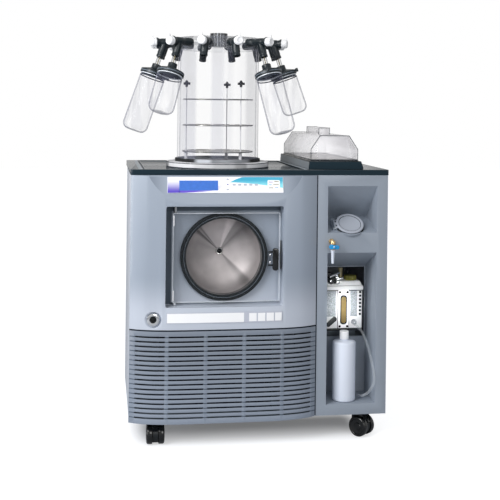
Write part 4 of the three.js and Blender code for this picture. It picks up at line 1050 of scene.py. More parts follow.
# ---------------- oil return hose
@dataclass
class OilHose:
    """The clear hose that runs from the pump's elbow down to the boss on the niche's back wall."""

    diameter: float = 8.5
    stretch: int = 10
    route: tuple[Point3, ...] = (
        (376, 78, 402), (386, 73, 390.6), (397, 67, 377), (410, 56, 344), (419, 40, 306), (423.5, 16, 268),
        (425, -5, 238), (422, -9, 207), (412, 4, 176), (401, 28, 154), (393, 58, 141), (384, 86, 136),
        (369, 102, 134.6), (350, 111, 134.6), (333, 116, 134.6), (320.5, 125, 134.6), (315.5, 138, 134.6),
        (315, 149, 134.6), (315, 153.6, 134.6),
    )

    def path(self) -> list[Vector]:
        """The hose's centreline, as a smooth line through its route.

        Returns:
            Its points in metres.
        """
        knots = [spot(x, FRONT + y, z) for x, y, z in self.route]
        ends = [2 * knots[0] - knots[1], *knots, 2 * knots[-1] - knots[-2]]
        line = [knots[0]]
        for a, b, c, d in zip(ends, ends[1:], ends[2:], ends[3:]):
            line += [self._between(a, b, c, d, i / self.stretch) for i in range(1, self.stretch + 1)]
        return line

    @staticmethod
    def _between(a: Vector, b: Vector, c: Vector, d: Vector, share: float) -> Vector:
        """A point on the centripetal curve through four points.

        Args:
            a: Point before the span.
            b: Start of the span.
            c: End of the span.
            d: Point after the span.
            share: Share of the span.

        Returns:
            The point.
        """
        times = [0.0]
        for start, end in ((a, b), (b, c), (c, d)):
            times.append(times[-1] + math.sqrt((end - start).length))
        t = times[1] + (times[2] - times[1]) * share

        def blend(p: Vector, q: Vector, start: float, end: float) -> Vector:
            """The point at time t on the line from p at start to q at end."""
            return p * ((end - t) / (end - start)) + q * ((t - start) / (end - start))

        first, second, third = (
            blend(start, end, *times[i:i + 2]) for i, (start, end) in enumerate(((a, b), (b, c), (c, d)))
        )
        left, right = blend(first, second, times[0], times[2]), blend(second, third, times[1], times[3])
        return blend(left, right, times[1], times[2])

    def build(self) -> None:
        line = self.path()
        data = bpy.data.curves.new("clear_hose", "CURVE")
        data.dimensions = "3D"
        data.bevel_depth = self.diameter / 2 * MM
        data.bevel_resolution = 4
        data.use_fill_caps = True
        spline = data.splines.new("POLY")
        spline.points.add(len(line) - 1)
        for point, place in zip(spline.points, line):
            point.co = (*place, 1)
        hose = bpy.data.objects.new("clear_hose", data)
        bpy.context.collection.objects.link(hose)
        seated(hose, HOSE_CLEAR, ["drain_hose"])


# ---------------- cabinet
@dataclass
class Cabinet:
    """The silver body: chassis, sheet wrap, worktop, bowed front mouldings and the tower's moulding."""

    width: float = 950
    drum_port: float = 45.5
    bottom: float = 90
    bow_left: float = -473
    bow_right: float = 204
    sagitta: float = 44
    power: float = 5
    wall: float = 4
    seam: float = 421
    seam_slit: float = 4
    facet_proud: float = 26.5
    facet_bottom: float = 872
    shade_inset: float = 3
    shade_width: float = 72
    shade_pitch: float = 7
    shade_steps: int = 11
    recess_low: Point2 = (-349, 502.5)
    recess_high: Point2 = (74, 861)
    recess_depth: float = RECESS_DEPTH
    neck: Point2 = CHAMBER_AXIS
    neck_bore: float = 144.3
    drain: Point2 = DRAIN_AT
    dimple: float = 29
    drain_seat: float = DRAIN_SEAT
    slot_first: float = 398
    slot_pitch: float = 16.85
    slot_rows: int = 18
    slot_height: float = 6
    slot_columns: tuple[Point2, ...] = field(
        default=((-453.5, -347.8), (-336.8, -209.3), (-198.3, -70.8), (-59.8, 67.8), (78.8, 184.5)),
    )

    def proud(self, x: float) -> float:
        """How far the bowed front stands ahead of the cabinet's front plane at x."""
        middle, half = (self.bow_left + self.bow_right) / 2, (self.bow_right - self.bow_left) / 2
        return self.sagitta * (1 - min(1, abs((x - middle) / half)) ** self.power)

    def bow(self, inset: float, steps: int = 44) -> list[Point2]:
        """Plan of the bowed front from left to right.

        Args:
            inset: How far it is moved back and in.
            steps: Steps along it.

        Returns:
            The points.
        """
        middle = (self.bow_left + self.bow_right) / 2
        half = (self.bow_right - self.bow_left) / 2
        shares = [math.sin(math.pi / 2 * (2 * i / steps - 1)) for i in range(steps + 1)]
        return [
            (middle + s * (half - inset), FRONT - self.proud(middle + s * half) + inset) for s in shares
        ]

    def facet_y(self, z: float) -> float:
        """Where the inclined facet stands at a height."""
        slope = (self.sagitta - self.facet_proud) / (UNDER_TOP - self.facet_bottom)
        return FRONT - self.facet_proud - slope * (UNDER_TOP - z)

    def build(self) -> None:
        """Builds and dresses the whole cabinet."""
        dressed("base_frame", FRAME_GREY)
        shell = refined("cabinet_shell", "cabinet_wrap", 1.0)
        seated(shell, SILVER_SIDE, ["cabinet_shell"])
        self._worktop()
        self._fascia()
        self._grille()
        tower = refined("tower_panel", "tower_moulding", 1.4, 3)
        seated(tower, TOWER_GREY, ["tower_panel"], 40)
        lip = FRONT + self.wall - 0.5
        plan = [*self.bow(-FIT), (self.bow_right, lip), (self.bow_left, lip)]
        low, high = self.seam - self.seam_slit / 2 - FIT, self.seam + self.seam_slit / 2 + 2 * FIT
        level = prism("level_seam", plan, Axis.Z, low, high)
        foot = (self.bow_right - 0.9, FRONT - 0.4, self.bottom + 4)
        upright = block("upright_seam", foot, (self.bow_right + 3, FRONT + 3, UNDER_TOP - 1))
        seated(gathered(level, upright), SEAM_DARK)

    def _worktop(self) -> None:
        """The dark slab with its spill well, the bath's cut-out and the drum port's hole, and painted
        reflection and shade beside the well.
        """
        half = self.width / 2
        plan = rounded_rectangle((-half, FRONT), (half, BACK), 9)
        slab = prism("worktop_slab", plan, Axis.Z, UNDER_TOP, TOP)
        well = block("well", (-half + 54, FRONT + 14, TOP - 3), (half - 318, BACK - 14, TOP + 5), 2.5)
        bath = block("bath_hole", (184.7, FRONT + 37.7, UNDER_TOP - 5), (363.3, BACK - 33.7, TOP + 5))
        middle = aimed((*DRUM_AXIS, (UNDER_TOP + TOP) / 2))
        port = lathe("port_hole", rectangle((0, -40), (self.drum_port, 40)), middle)
        cut(slab, well, bath, port)
        rounded(slab, 1.8, 3)
        seated(slab, SLATE, ["worktop"])
        low, high = (-half + 8, FRONT - FIT, UNDER_TOP + 1.6), (half - 8, FRONT + 0.2, TOP - 1.6)
        face = block("worktop_face", low, high)
        seated(face, EDGE_NAVY)
        # Painted reflection: pale bands on the top beside the well. Painted shade: dark lines along the
        # well's edges.
        y0, y1, z = FRONT + 16, BACK - 16, TOP - 0.1
        pale = [block("band", (x, y0, z), (x + 13, y1, z + 0.3)) for x in (-half + 30, 160)]
        seated(gathered(*pale), WELL_REFLECTION)
        dark = [block("line", (x, y0, z), (x + 4.5, y1, z + 0.3)) for x in (-half + 46, 153.5)]
        seated(gathered(*dark), EDGE_NAVY)

    def _fascia(self) -> None:
        """Upper front moulding with its inclined facet, recess, neck hole and drain dimple, and the painted
        shadow in the recess and beside the facet.
        """
        lip = FRONT + self.wall
        plan = [*self.bow(0), (self.bow_right, lip), (self.bow_left, lip)]
        body = prism("fascia_moulding", plan, Axis.Z, self.seam + self.seam_slit / 2, UNDER_TOP - FIT)
        ahead = FRONT - self.sagitta - 60
        over, under = UNDER_TOP + 8, self.facet_bottom - 8
        wedge = [(ahead, under), (self.facet_y(under), under), (self.facet_y(over), over), (ahead, over)]
        cut(body, prism("wedge", wedge, Axis.X, self.bow_left - 5, self.bow_right + 5))
        (x0, z0), (x1, z1) = self.recess_low, self.recess_high
        floor = FRONT + self.recess_depth
        tub = block("tub", (x0 - 4, FRONT - 30, z0 - 4), (x1 + 4, floor + 4, z1 + 4))
        welded(body, tub)
        mouth = prism("mouth", rounded_rectangle((x0, z0), (x1, z1), 7), Axis.Y, FRONT - 130, floor)
        neck_place = aimed((self.neck[0], floor, self.neck[1]), BACKWARD)
        neck = lathe("neck", rectangle((0, -30), (self.neck_bore, 30)), neck_place, 72)
        seat = aimed((self.drain[0], FRONT - self.drain_seat, self.drain[1]), BACKWARD)
        dimple = lathe("dimple", rectangle((0, -60), (self.dimple, 0)), seat)
        outlet = lathe("outlet", rectangle((0, -5), (20, 80)), seat)
        cut(body, mouth, neck, dimple, outlet)
        rounded(body, 2.2, 3, 25)
        seated(body, SILVER, ["front_fascia"], 28)
        # Painted shadow: dark sheets on the recess's left and top walls.
        fore = FRONT - self.sagitta + 7
        left = block("recess_side_shadow", (x0 + 0.1, fore, z0 + 6), (x0 + 0.5, floor - 0.2, z1 - 6))
        over = block("recess_top_shadow", (x0 + 6, fore, z1 - 0.5), (x1 - 6, floor - 0.2, z1 - 0.1))
        seated(gathered(left, over), RECESS_SHADE)
        self._facet_shades()
        # Painted shadow: a dark frame of sheets on the recess's back wall, along its top, left side and
        # bottom.
        back_top_shade = block("back_wall_shadow_top", (x0 + 1, floor - 0.4, z1 - 22), (x1 - 1, floor - 0.1, z1 - 1))
        back_left_shade = block("back_wall_shadow_left", (x0 + 1, floor - 0.4, z0 + 1), (x0 + 24, floor - 0.1, z1 - 21))
        back_low_shade = block("back_wall_shadow_low", (x0 + 23, floor - 0.4, z0 + 1), (x1 - 1, floor - 0.1, z0 + 7))
        seated(gathered(back_top_shade, back_left_shade, back_low_shade), RECESS_DIM)

    def _facet_shades(self) -> None:
        """The soft shade that the facet takes beside its two curved edges."""
        middle, half = (self.bow_left + self.bow_right) / 2, (self.bow_right - self.bow_left) / 2
        rise = self.facet_bottom - UNDER_TOP
        lean = math.atan2(self.facet_y(self.facet_bottom) - self.facet_y(UNDER_TOP), rise)
        centre = UNDER_TOP - 40
        place = Matrix.Translation(spot(0, self.facet_y(centre), centre)) @ Matrix.Rotation(-lean, 4, "X")
        for side in (-1, 1):
            edge = []
            for step in range(self.shade_steps):
                z = UNDER_TOP - self.shade_inset - self.shade_pitch * step
                share = (1 - (FRONT - self.facet_y(z)) / self.sagitta) ** (1 / self.power)
                reach = share * half - self.shade_inset
                edge.append((middle + side * reach, (z - centre) / math.cos(lean)))
            inward = edge[0][0] - side * self.shade_width
            plan = [*edge, (inward, edge[-1][1]), (inward, edge[0][1])]
            sheet = prism("facet_shade", plan, Axis.Y, -0.25, 0.2, place)
            tone = FadeFinish(
                f"facet_tone_{side + 1}", "#76808e", 0.45, mottle=0.05, fade_to="#939dab",
                start=spot(edge[0][0], 0, 0).x, end=spot(inward, 0, 0).x, axis="X",
            )
            seated(sheet, tone)

    def _grille(self) -> None:
        """Lower front moulding with its rows of air slots between upright ribs."""
        lip = FRONT + self.wall
        high = self.seam - self.seam_slit / 2
        inner = self.bow(self.wall)
        plan = [
            *self.bow(0), (self.bow_right, lip), (self.bow_right - self.wall, lip), *reversed(inner),
            (self.bow_left + self.wall, lip), (self.bow_left, lip),
        ]
        body = prism("grille_moulding", plan, Axis.Z, self.bottom, high)
        caps = []
        for low in (self.bottom, high - self.wall):
            cap_plan = [*self.bow(1), (self.bow_right - 1, lip), (self.bow_left + 1, lip)]
            caps.append(prism("cap", cap_plan, Axis.Z, low, low + self.wall))
        welded(body, *caps)
        slots = []
        z, half = self.slot_first, self.slot_height / 2
        for x0, x1 in self.slot_columns:
            shape = rounded_rectangle((x0, z - half), (x1, z + half), half - 0.1, 3)
            slots.append(self._rows(prism("slot", shape, Axis.Y, FRONT - self.sagitta - 20, FRONT + 2)))
        cut(body, *slots)
        rounded(body, 1.1, 2, 35)
        seated(body, GRILLE_GREY, ["front_grille"], 30)
        sides = [x for column in self.slot_columns for x in column]
        ends = [self.bow_left + 1.5, *sides, self.bow_right - 1.5]
        shades = []
        for x0, x1 in zip(ends[::2], ends[1::2]):
            steps = spread(x0, x1, 6)
            fore = [(x, FRONT - self.proud(x) - 0.25) for x in steps]
            rear = [(x, FRONT - self.proud(x) + 0.6) for x in reversed(steps)]
            shades.append(self._rows(prism("rib_line", [*fore, *rear], Axis.Z, z - 1.6, z + 1.8)))
        seated(gathered(*shades), RIB_SHADE)

    def _rows(self, obj: Piece) -> Piece:
        """Repeats a piece down all the rows of slots.

        Args:
            obj: The piece of the first row.

        Returns:
            The same object.
        """
        return modify(
            obj, "ARRAY", count=self.slot_rows, use_relative_offset=False, use_constant_offset=True,
            constant_offset_displace=(0, 0, -self.slot_pitch * MM),
        )


# ---------------- printed fronts
@dataclass
class FrontPrints:
    """The keypad's generic graphics, and the blank inlays of the name strip."""

    middle: Point3 = (-137.5, FRONT - 33.38, 937.45)
    lean: float = 10.13
    skin: float = -0.75
    bars: tuple[tuple[int, int, int], ...] = (
        (156, 9, 14), (176, 11, 16), (157, -1, 9), (172, 1, 20), (155, -12, 16), (178, -10, 12),
    )
    inlays: tuple[Point2, ...] = ((-342.5, -68), (-49.5, -22.5), (-18, 9), (13.5, 40.5), (44.5, 68.8))

    def build(self) -> None:
        """Lays the keypad's print in its own frame and the inlays along the bow."""
        dressed("control_panel", MEMBRANE)
        dressed("name_strip", STRIP_SILVER)
        self._keypad()
        self._inlays()

    def _printed(self, name: str, outline: Sequence[Point2], finish: Finish, layer: int = 1) -> None:
        """One printed field on the keypad.

        Args:
            name: Name of the piece.
            outline: X and height from the keypad's middle.
            finish: Its ink.
            layer: Its place in the stack of prints.
        """
        place = Matrix.Translation(spot(*self.middle)) @ Matrix.Rotation(math.radians(-self.lean), 4, "X")
        shape = prism(name, outline, Axis.Y, self.skin - 0.06 * layer, self.skin, place)
        seated(shape, finish)

    def _keypad(self) -> None:
        """Display, violet and cyan fields, arrows, key row and a small diagram."""
        film = MEMBRANE.colour
        violet = FadeFinish(
            "violet_print", "#4c34bb", 0.3, fade_to=film, start=spot(0, 0, 912).z, end=spot(0, 0, 962).z,
        )
        trail = FadeFinish(
            "violet_trail", "#5a42c4", 0.3, fade_to=film, axis="X",
            start=spot(-250, 0, 0).x, end=spot(-120, 0, 0).x,
        )
        cyan = FadeFinish(
            "cyan_print", "#7fdcea", 0.3, fade_to="#10a5c8", start=spot(0, 0, 934).z, end=spot(0, 0, 956).z,
        )
        blue = Finish("display_blue", "#4274cc", 0.45, mottle=0.3, mottle_scale=90, specular=0.2)
        grey, ink = Finish("print_grey", "#b4b9c6", 0.4), Finish("print_ink", "#4a3c9c", 0.4)
        self._printed("left_field", rectangle((-207.5, -28), (-164, 27.5)), violet)
        trail_shape = [
            (-168, -28), (-150, -28), (-100, -25.5), (-60, -23), (-27, -18), (0, 2), (-2, 6), (-27, -4),
            (-168, -16),
        ]
        self._printed("violet_sweep", trail_shape, trail)
        curve = [(14 + 193 * t, 9 - 20 * t ** 1.6) for t in spread(0, 1, 12)]
        self._printed("cyan_sweep", [*curve, (207.5, 27.8), (60, 27.8), (36, 20)], cyan)
        self._printed("display", rounded_rectangle((-166.5, -20), (-27.5, 15.5), 1.5), blue, 2)
        for x, z in ((7, 17), (7, -14)):
            tip = 7 if z > 0 else -7
            self._printed("arrow", [(x - 7, z), (x + 7, z), (x, z + tip)], grey, 2)
        self._printed("dot", arc((7, 1.5), 2.6, 0, 345, 15), ink, 2)
        for index in range(5):
            key = rounded_rectangle((24 + index * 20, -3), (36 + index * 20, 4), 2)
            self._printed("key", key, grey, 2)
        self._printed("diagram_field", rounded_rectangle((151, -22), (196, 17), 4), MEMBRANE, 2)
        for x, z, w in self.bars:
            tint = (OLIVE, BLUE, ink)[(x + w) % 3]
            self._printed("diagram_bar", rectangle((x, z), (x + w, z + 2.2)), tint, 3)
        for z in (-29, 27.9):
            self._printed("border", rectangle((-208.5, z), (208.5, z + 1.1)), grey, 2)

    def _inlays(self) -> None:
        """One long blank inlay and four small square ones, white on the silver strip."""
        cabinet = Cabinet()
        for index, (x0, x1) in enumerate(self.inlays):
            face = [(x, FRONT - cabinet.proud(x) - 2.2) for x in spread(x0, x1, 10)]
            deep = [(x, y - 0.35) for x, y in reversed(face)]
            z0, z1 = (449.5, 482.5) if index == 0 else (451.5, 480.5)
            seated(prism("blank_inlay", [*face, *deep], Axis.Z, z0, z1), WHITE)


# ---------------- cold chamber
@dataclass
class ColdChamber:
    """The spun steel chamber in the recess, with its gasket, clear door, handle, pins and drain port."""

    centre: Point2 = CHAMBER_AXIS
    recess_back: float = FRONT + RECESS_DEPTH
    bore: float = 138
    wall: float = 3
    neck_wall: float = 6
    straight: float = 60
    dish: float = 75
    flange: float = 170
    port: float = 9
    port_length: float = 70
    coil_turns: int = 3
    coil_first: float = 18.9
    coil_pitch: float = 15.6
    gasket_outer: float = 159
    gasket_thickness: float = 19.4
    door_low: Point2 = (-322, 514)
    door_high: Point2 = (66, 834)
    door_thickness: float = 15.7
    handle: Point2 = (46.5, 669)
    drain: Point2 = DRAIN_AT

    def build(self) -> None:
        """Builds and dresses every piece of the chamber."""
        self._vessel()
        self._gasket()
        self._door()
        self._handle()
        self._hinges_and_strike()
        self._drain_port()

    def _vessel(self) -> None:
        """The vessel: neck, flange, barrel, dished back and drain pipe, with three cooling turns."""
        b, w, n = self.bore, self.wall, self.neck_wall
        deep = self.straight
        quarter = [math.pi / 2 * i / 14 for i in range(15)]
        inner = [(b * math.cos(a), deep + self.dish * math.sin(a)) for a in quarter]
        outer = [((b + w) * math.cos(a), deep + (self.dish + w) * math.sin(a)) for a in quarter]
        back = deep + self.dish
        pipe = [(self.port + 5, back - 2.5), (self.port, back - 1), (self.port, back + self.port_length)]
        pipe += [(self.port + w, back + self.port_length), (self.port + w, back + w)]
        flange = [(b + w, 9.3), (self.flange, 9.3), (self.flange, 4.3), (b + n, 4.3), (b + n, 0.8)]
        mouth = [(b + n - 0.8, 0), (b + 0.8, 0), (b, 0.8)]
        place = self._axis(0)
        profile = [*inner[:-1], *pipe, *reversed(outer[:-1]), *flange, *mouth]
        vessel = lathe("cold_chamber", profile, place, 120)
        coils = []
        for turn in range(self.coil_turns):
            ring = arc((b + w + 2, self.coil_first + self.coil_pitch * turn), 4, 0, 360, 12)[:-1]
            coils.append(lathe("coil", ring, place, 72))
        seated(gathered(vessel, *coils), CHAMBER_STEEL, ["chamber_shell"], 30)
        p = self.port
        rim = raised(back, [(p, -3.2), (p + 3.4, -3.8), (p + 5, -3), (p, -2)])
        seated(lathe("port_rim", rim, place, 40), STEEL)
        seated(disc("port_dark", p + 0.6, back - 4, back - 2, place, 0.3), BORE_BLACK)

    def _axis(self, ahead: float) -> Matrix:
        """The chamber's axis, from a point ahead of the recess's back wall."""
        return aimed((self.centre[0], self.recess_back - ahead, self.centre[1]), BACKWARD)

    def _gasket(self) -> None:
        """The double-lipped rubber ring, with a painted pale line of light between its lips and a painted
        shadow ring inside the neck.
        """
        inner, outer, deep = self.bore + 1, self.gasket_outer, self.gasket_thickness
        profile = [(inner + 1, 0), (inner + 9, 0), (inner + 10, 3), (inner + 12.5, 3), (inner + 13.5, 0)]
        profile += [(outer - 1.5, 0), (outer, 1.5), (outer, deep), (inner, deep), (inner, 1)]
        place = self._axis(FIT + deep)
        seated(lathe("door_gasket", profile, place, 96), GASKET_BLACK, ["chamber_gasket"])
        glint = lathe("lip_line", rectangle((inner + 7.4, -FIT), (inner + 8.5, 0.2)), place, 96)
        seated(glint, LINE_GREY)
        # Painted shadow: a dark ring inside the neck, just behind the gasket.
        neck = rectangle((self.bore - 0.5, 1), (self.bore - 0.1, 13))
        seated(lathe("neck_shadow_ring", neck, self._axis(0), 96), GASKET_BLACK)

    def _door_faces(self) -> tuple[float, float]:
        """Y of the door's front and back faces."""
        rear = self.recess_back - FIT - self.gasket_thickness - FIT
        return rear - self.door_thickness, rear

    def _door(self) -> None:
        """The clear door plate, with painted highlight lines along its edges and two painted glints on its
        left edge.
        """
        (x0, z0), (x1, z1) = self.door_low, self.door_high
        fore, rear = self._door_faces()
        plate = block("clear_door", (x0, fore, z0), (x1, rear, z1), 1.6, 2)
        seated(plate, DOOR_CLEAR, ["chamber_door"], body="door")
        # Painted highlights: pale lines along the plate's edges, front and back.
        lines = []
        for near, far in ((fore - 0.1, fore + 0.9), (rear - 0.9, rear + 0.1)):
            lines += [block("line", (x, near, z0), (x + 1.5, far, z1)) for x in (x0 - 0.1, x1 - 1.4)]
            lines += [block("line", (x0, near, z), (x1, far, z + 1.5)) for z in (z0 - 0.1, z1 - 1.4)]
        seated(gathered(*lines), EDGE_HIGHLIGHT, body="door")
        ends = [
            block("glint", (x0 + 0.4, fore - 0.5, z), (x0 + 4.6, fore + 0.5, z + 38), 0.3)
            for z in (z0 + 6, z1 - 46)
        ]
        seated(gathered(*ends), WHITE, body="door")

    def _handle(self) -> None:
        """The upright pull on its two posts with their washers."""
        (x, z), (fore, _) = self.handle, self._door_faces()
        outline = rounded_rectangle((x - 10.5, z - 40), (x + 10.5, z + 40), 7.5)
        grip = rounded(prism("pull_handle", outline, Axis.Y, fore - 26, fore - 12), 2.4, 3)
        posts = []
        for side in (-25, 25):
            post = [(0, -14), (5, -14), (5, -3), (8.5, -2.6), (8.5, -0.3), (0, -0.3)]
            posts.append(lathe("post", post, aimed((x, fore, z + side), BACKWARD), 32))
        seated(gathered(grip, *posts), GLOSS_BLACK, ["door_handle"], body="door")
        bolts = [
            disc("latch_bolt", 4.5, 0.2, 5, aimed((x - 17, fore, z + side), AHEAD), 1, 24)
            for side in (-14, 13)
        ]
        seated(gathered(*bolts), CHROME, body="door")
        arms = [
            block("latch_arm", (x - 24, fore - 3, z + side - 3), (x - 8, fore - 0.1, z + side + 3), 1)
            for side in (-24, 24)
        ]
        seated(gathered(*arms), BLACK, body="door")

    def _hinges_and_strike(self) -> None:
        """Bright sleeves on the two hinge pins and the dark keeper strip with its screws."""
        fore, rear = self._door_faces()
        x, y = self.door_low[0] + 8, (fore + rear) / 2
        sleeves = []
        for low, high in ((834.5, 857), (504, 513.5)):
            sleeve = [(4.2, low), (6.2, low + 1), (6.2, high - 1), (4.2, high)]
            sleeves.append(lathe("hinge_sleeve", sleeve, aimed((x, y, 0)), 32))
        seated(gathered(*sleeves), CHROME)
        keeper = block("keeper_strip", (68.6, y - 9, 628.5), (70.4, y + 9, 733.5), 0.5)
        seated(keeper, BLACK)
        screws = [
            disc("keeper_screw", 3.4, 0, 1.8, aimed((68.6, y, z), (-1, 0, 0)), 0.6, 24) for z in (637, 725)
        ]
        seated(gathered(*screws), CHROME)

    def _drain_port(self) -> None:
        """The chrome outlet with its black bore."""
        profile = [(12, -10.5), (13.5, -12), (19, -12), (22, -10.8), (23.5, -7), (23.5, -0.3), (19.7, -0.3)]
        profile += [(19.7, 28), (12, 28)]
        place = aimed((self.drain[0], FRONT - DRAIN_SEAT, self.drain[1]), BACKWARD)
        seated(lathe("drain_outlet", profile, place), CHROME, ["drain_port"])
        liner = [(0, 8), (11.8, 8), (11.8, -8), (9.6, -8), (9.6, 4), (0, 4)]
        seated(lathe("drain_liner", liner, place, 40), BLACK)


# ---------------- pump tower
@dataclass
class InclinedPort:
    """The flip lid on the inclined port of the upper niche, in the port's own frame."""

    at: Point3 = (336, FRONT + 38, 784)
    slope: float = 36

    def build(self) -> None:
        """Builds the collar ring, the lid, and the hinge barrel."""
        angle = math.radians(self.slope)
        place = aimed(self.at, (0, -math.sin(angle), math.cos(angle)))
        ring = [(47.5, -6), (54, -6), (55.5, -4.5), (55.5, -1.2)]
        ring += [(54.5, -0.5), (53, -0.5), (52.6, -3), (47.5, -3)]
        seated(lathe("port_ring", ring, place, 80), BLACK)
        top = [(0, 5.4), (38, 5.6), (40.5, 6), (42.5, 7.6), (45, 8), (49.5, 8), (51.4, 7.2), (52, 5.5)]
        lid = lathe("flip_lid", [*top, (52, 0.6), (51.4, 0), (0, 0)], place, 80)
        tab = block("tab", (-63, -21, 0), (-46, 21, 6), 2, 3, place)
        seated(gathered(lid, tab), LID_GREY, ["trap_lid"], body="trap_lid")
        inner = lathe("lid_ring", [(40.4, 5.9), (42, 7.3), (41.6, 7.7), (40, 6.3)], place, 80)
        outer = lathe("lid_rim", rectangle((51.4, 0.2), (52.4, 3.4)), place, 80)
        slots = [block("tab_slot", (-56, y, 5.6), (-49, y + 9, 6.4), 0.2, 1, place) for y in (-15, 6)]
        seated(gathered(inner, outer, *slots), EDGE_GREY, body="trap_lid")
        axis = moved(place, -60, 3) @ Matrix.Rotation(math.radians(90), 4, "X")
        seated(disc("hinge_barrel", 3.6, -28, 28, axis, 0.8, 28), CHROME)


@dataclass
class DrainValve:
    """Brass valve with its blue lever and white spout, between the two niches."""

    at: Point2 = (259, 727)
    reach: float = 24

    def build(self) -> None:
        """Builds the brass body, the spout and the lever."""
        x, z = self.at
        out = [(0, -24), (6, -24), (7, -22), (7, -6), (9.5, -6), (10.5, -4.5), (10.5, -0.3), (0, -0.3)]
        stub = lathe("brass_valve", out, aimed((x, FRONT, z), BACKWARD), 40)
        nut = prism("nut", arc((x, z), 9.2, 0, 300, 5), Axis.Y, FRONT - 15, FRONT - 8)
        y = FRONT - self.reach
        barrel = [(0, -27), (8, -27), (8.8, -25), (8.8, -19), (7.4, -17.5), (7.4, -9)]
        barrel += [(10, -7), (10, 3), (8.4, 6.2), (4, 7), (0, 7)]
        upright = lathe("upright", raised(z, barrel), aimed((x, y, 0)), 40)
        seated(gathered(stub, rounded(nut, 0.8), upright), BRASS, ["drain_valve"])
        spout = [(0, -77), (4, -77), (4.5, -76.4), (6.4, -33), (7.6, -31), (7.6, -27.2), (0, -27.2)]
        seated(lathe("spout", raised(z, spout), aimed((x, y, 0)), 36), MILKY)
        self._lever(x, y, z - 15)

    def _lever(self, x: float, y: float, z: float) -> None:
        """The blue lever: a waisted blade round its hub, with its screw.

        Args:
            x: The valve's X.
            y: The valve's Y.
            z: Height of the hub.
        """
        centre = Matrix.Translation(spot(x, y - 13.8, z)) @ Matrix.Rotation(math.radians(4), 4, "Y")
        outline = [*arc((-8, 0), 9, 50, 310, 10), *arc((12.5, 0), 8.5, 300, 420, 8)]
        blade = rounded(prism("blue_lever", outline, Axis.Y, -3.5, 3.5, centre), 1.4, 3)
        pivot = centre @ Matrix.Rotation(math.radians(-90), 4, "X")
        hub = disc("hub", 6.4, -5.5, -3, pivot, 1, 36)
        seated(gathered(blade, hub), BLUE, ["drain_lever"], body="drain_lever")
        seated(disc("lever_screw", 2.6, -6.3, -5.2, pivot, 0.4, 24), CHROME, body="drain_lever")


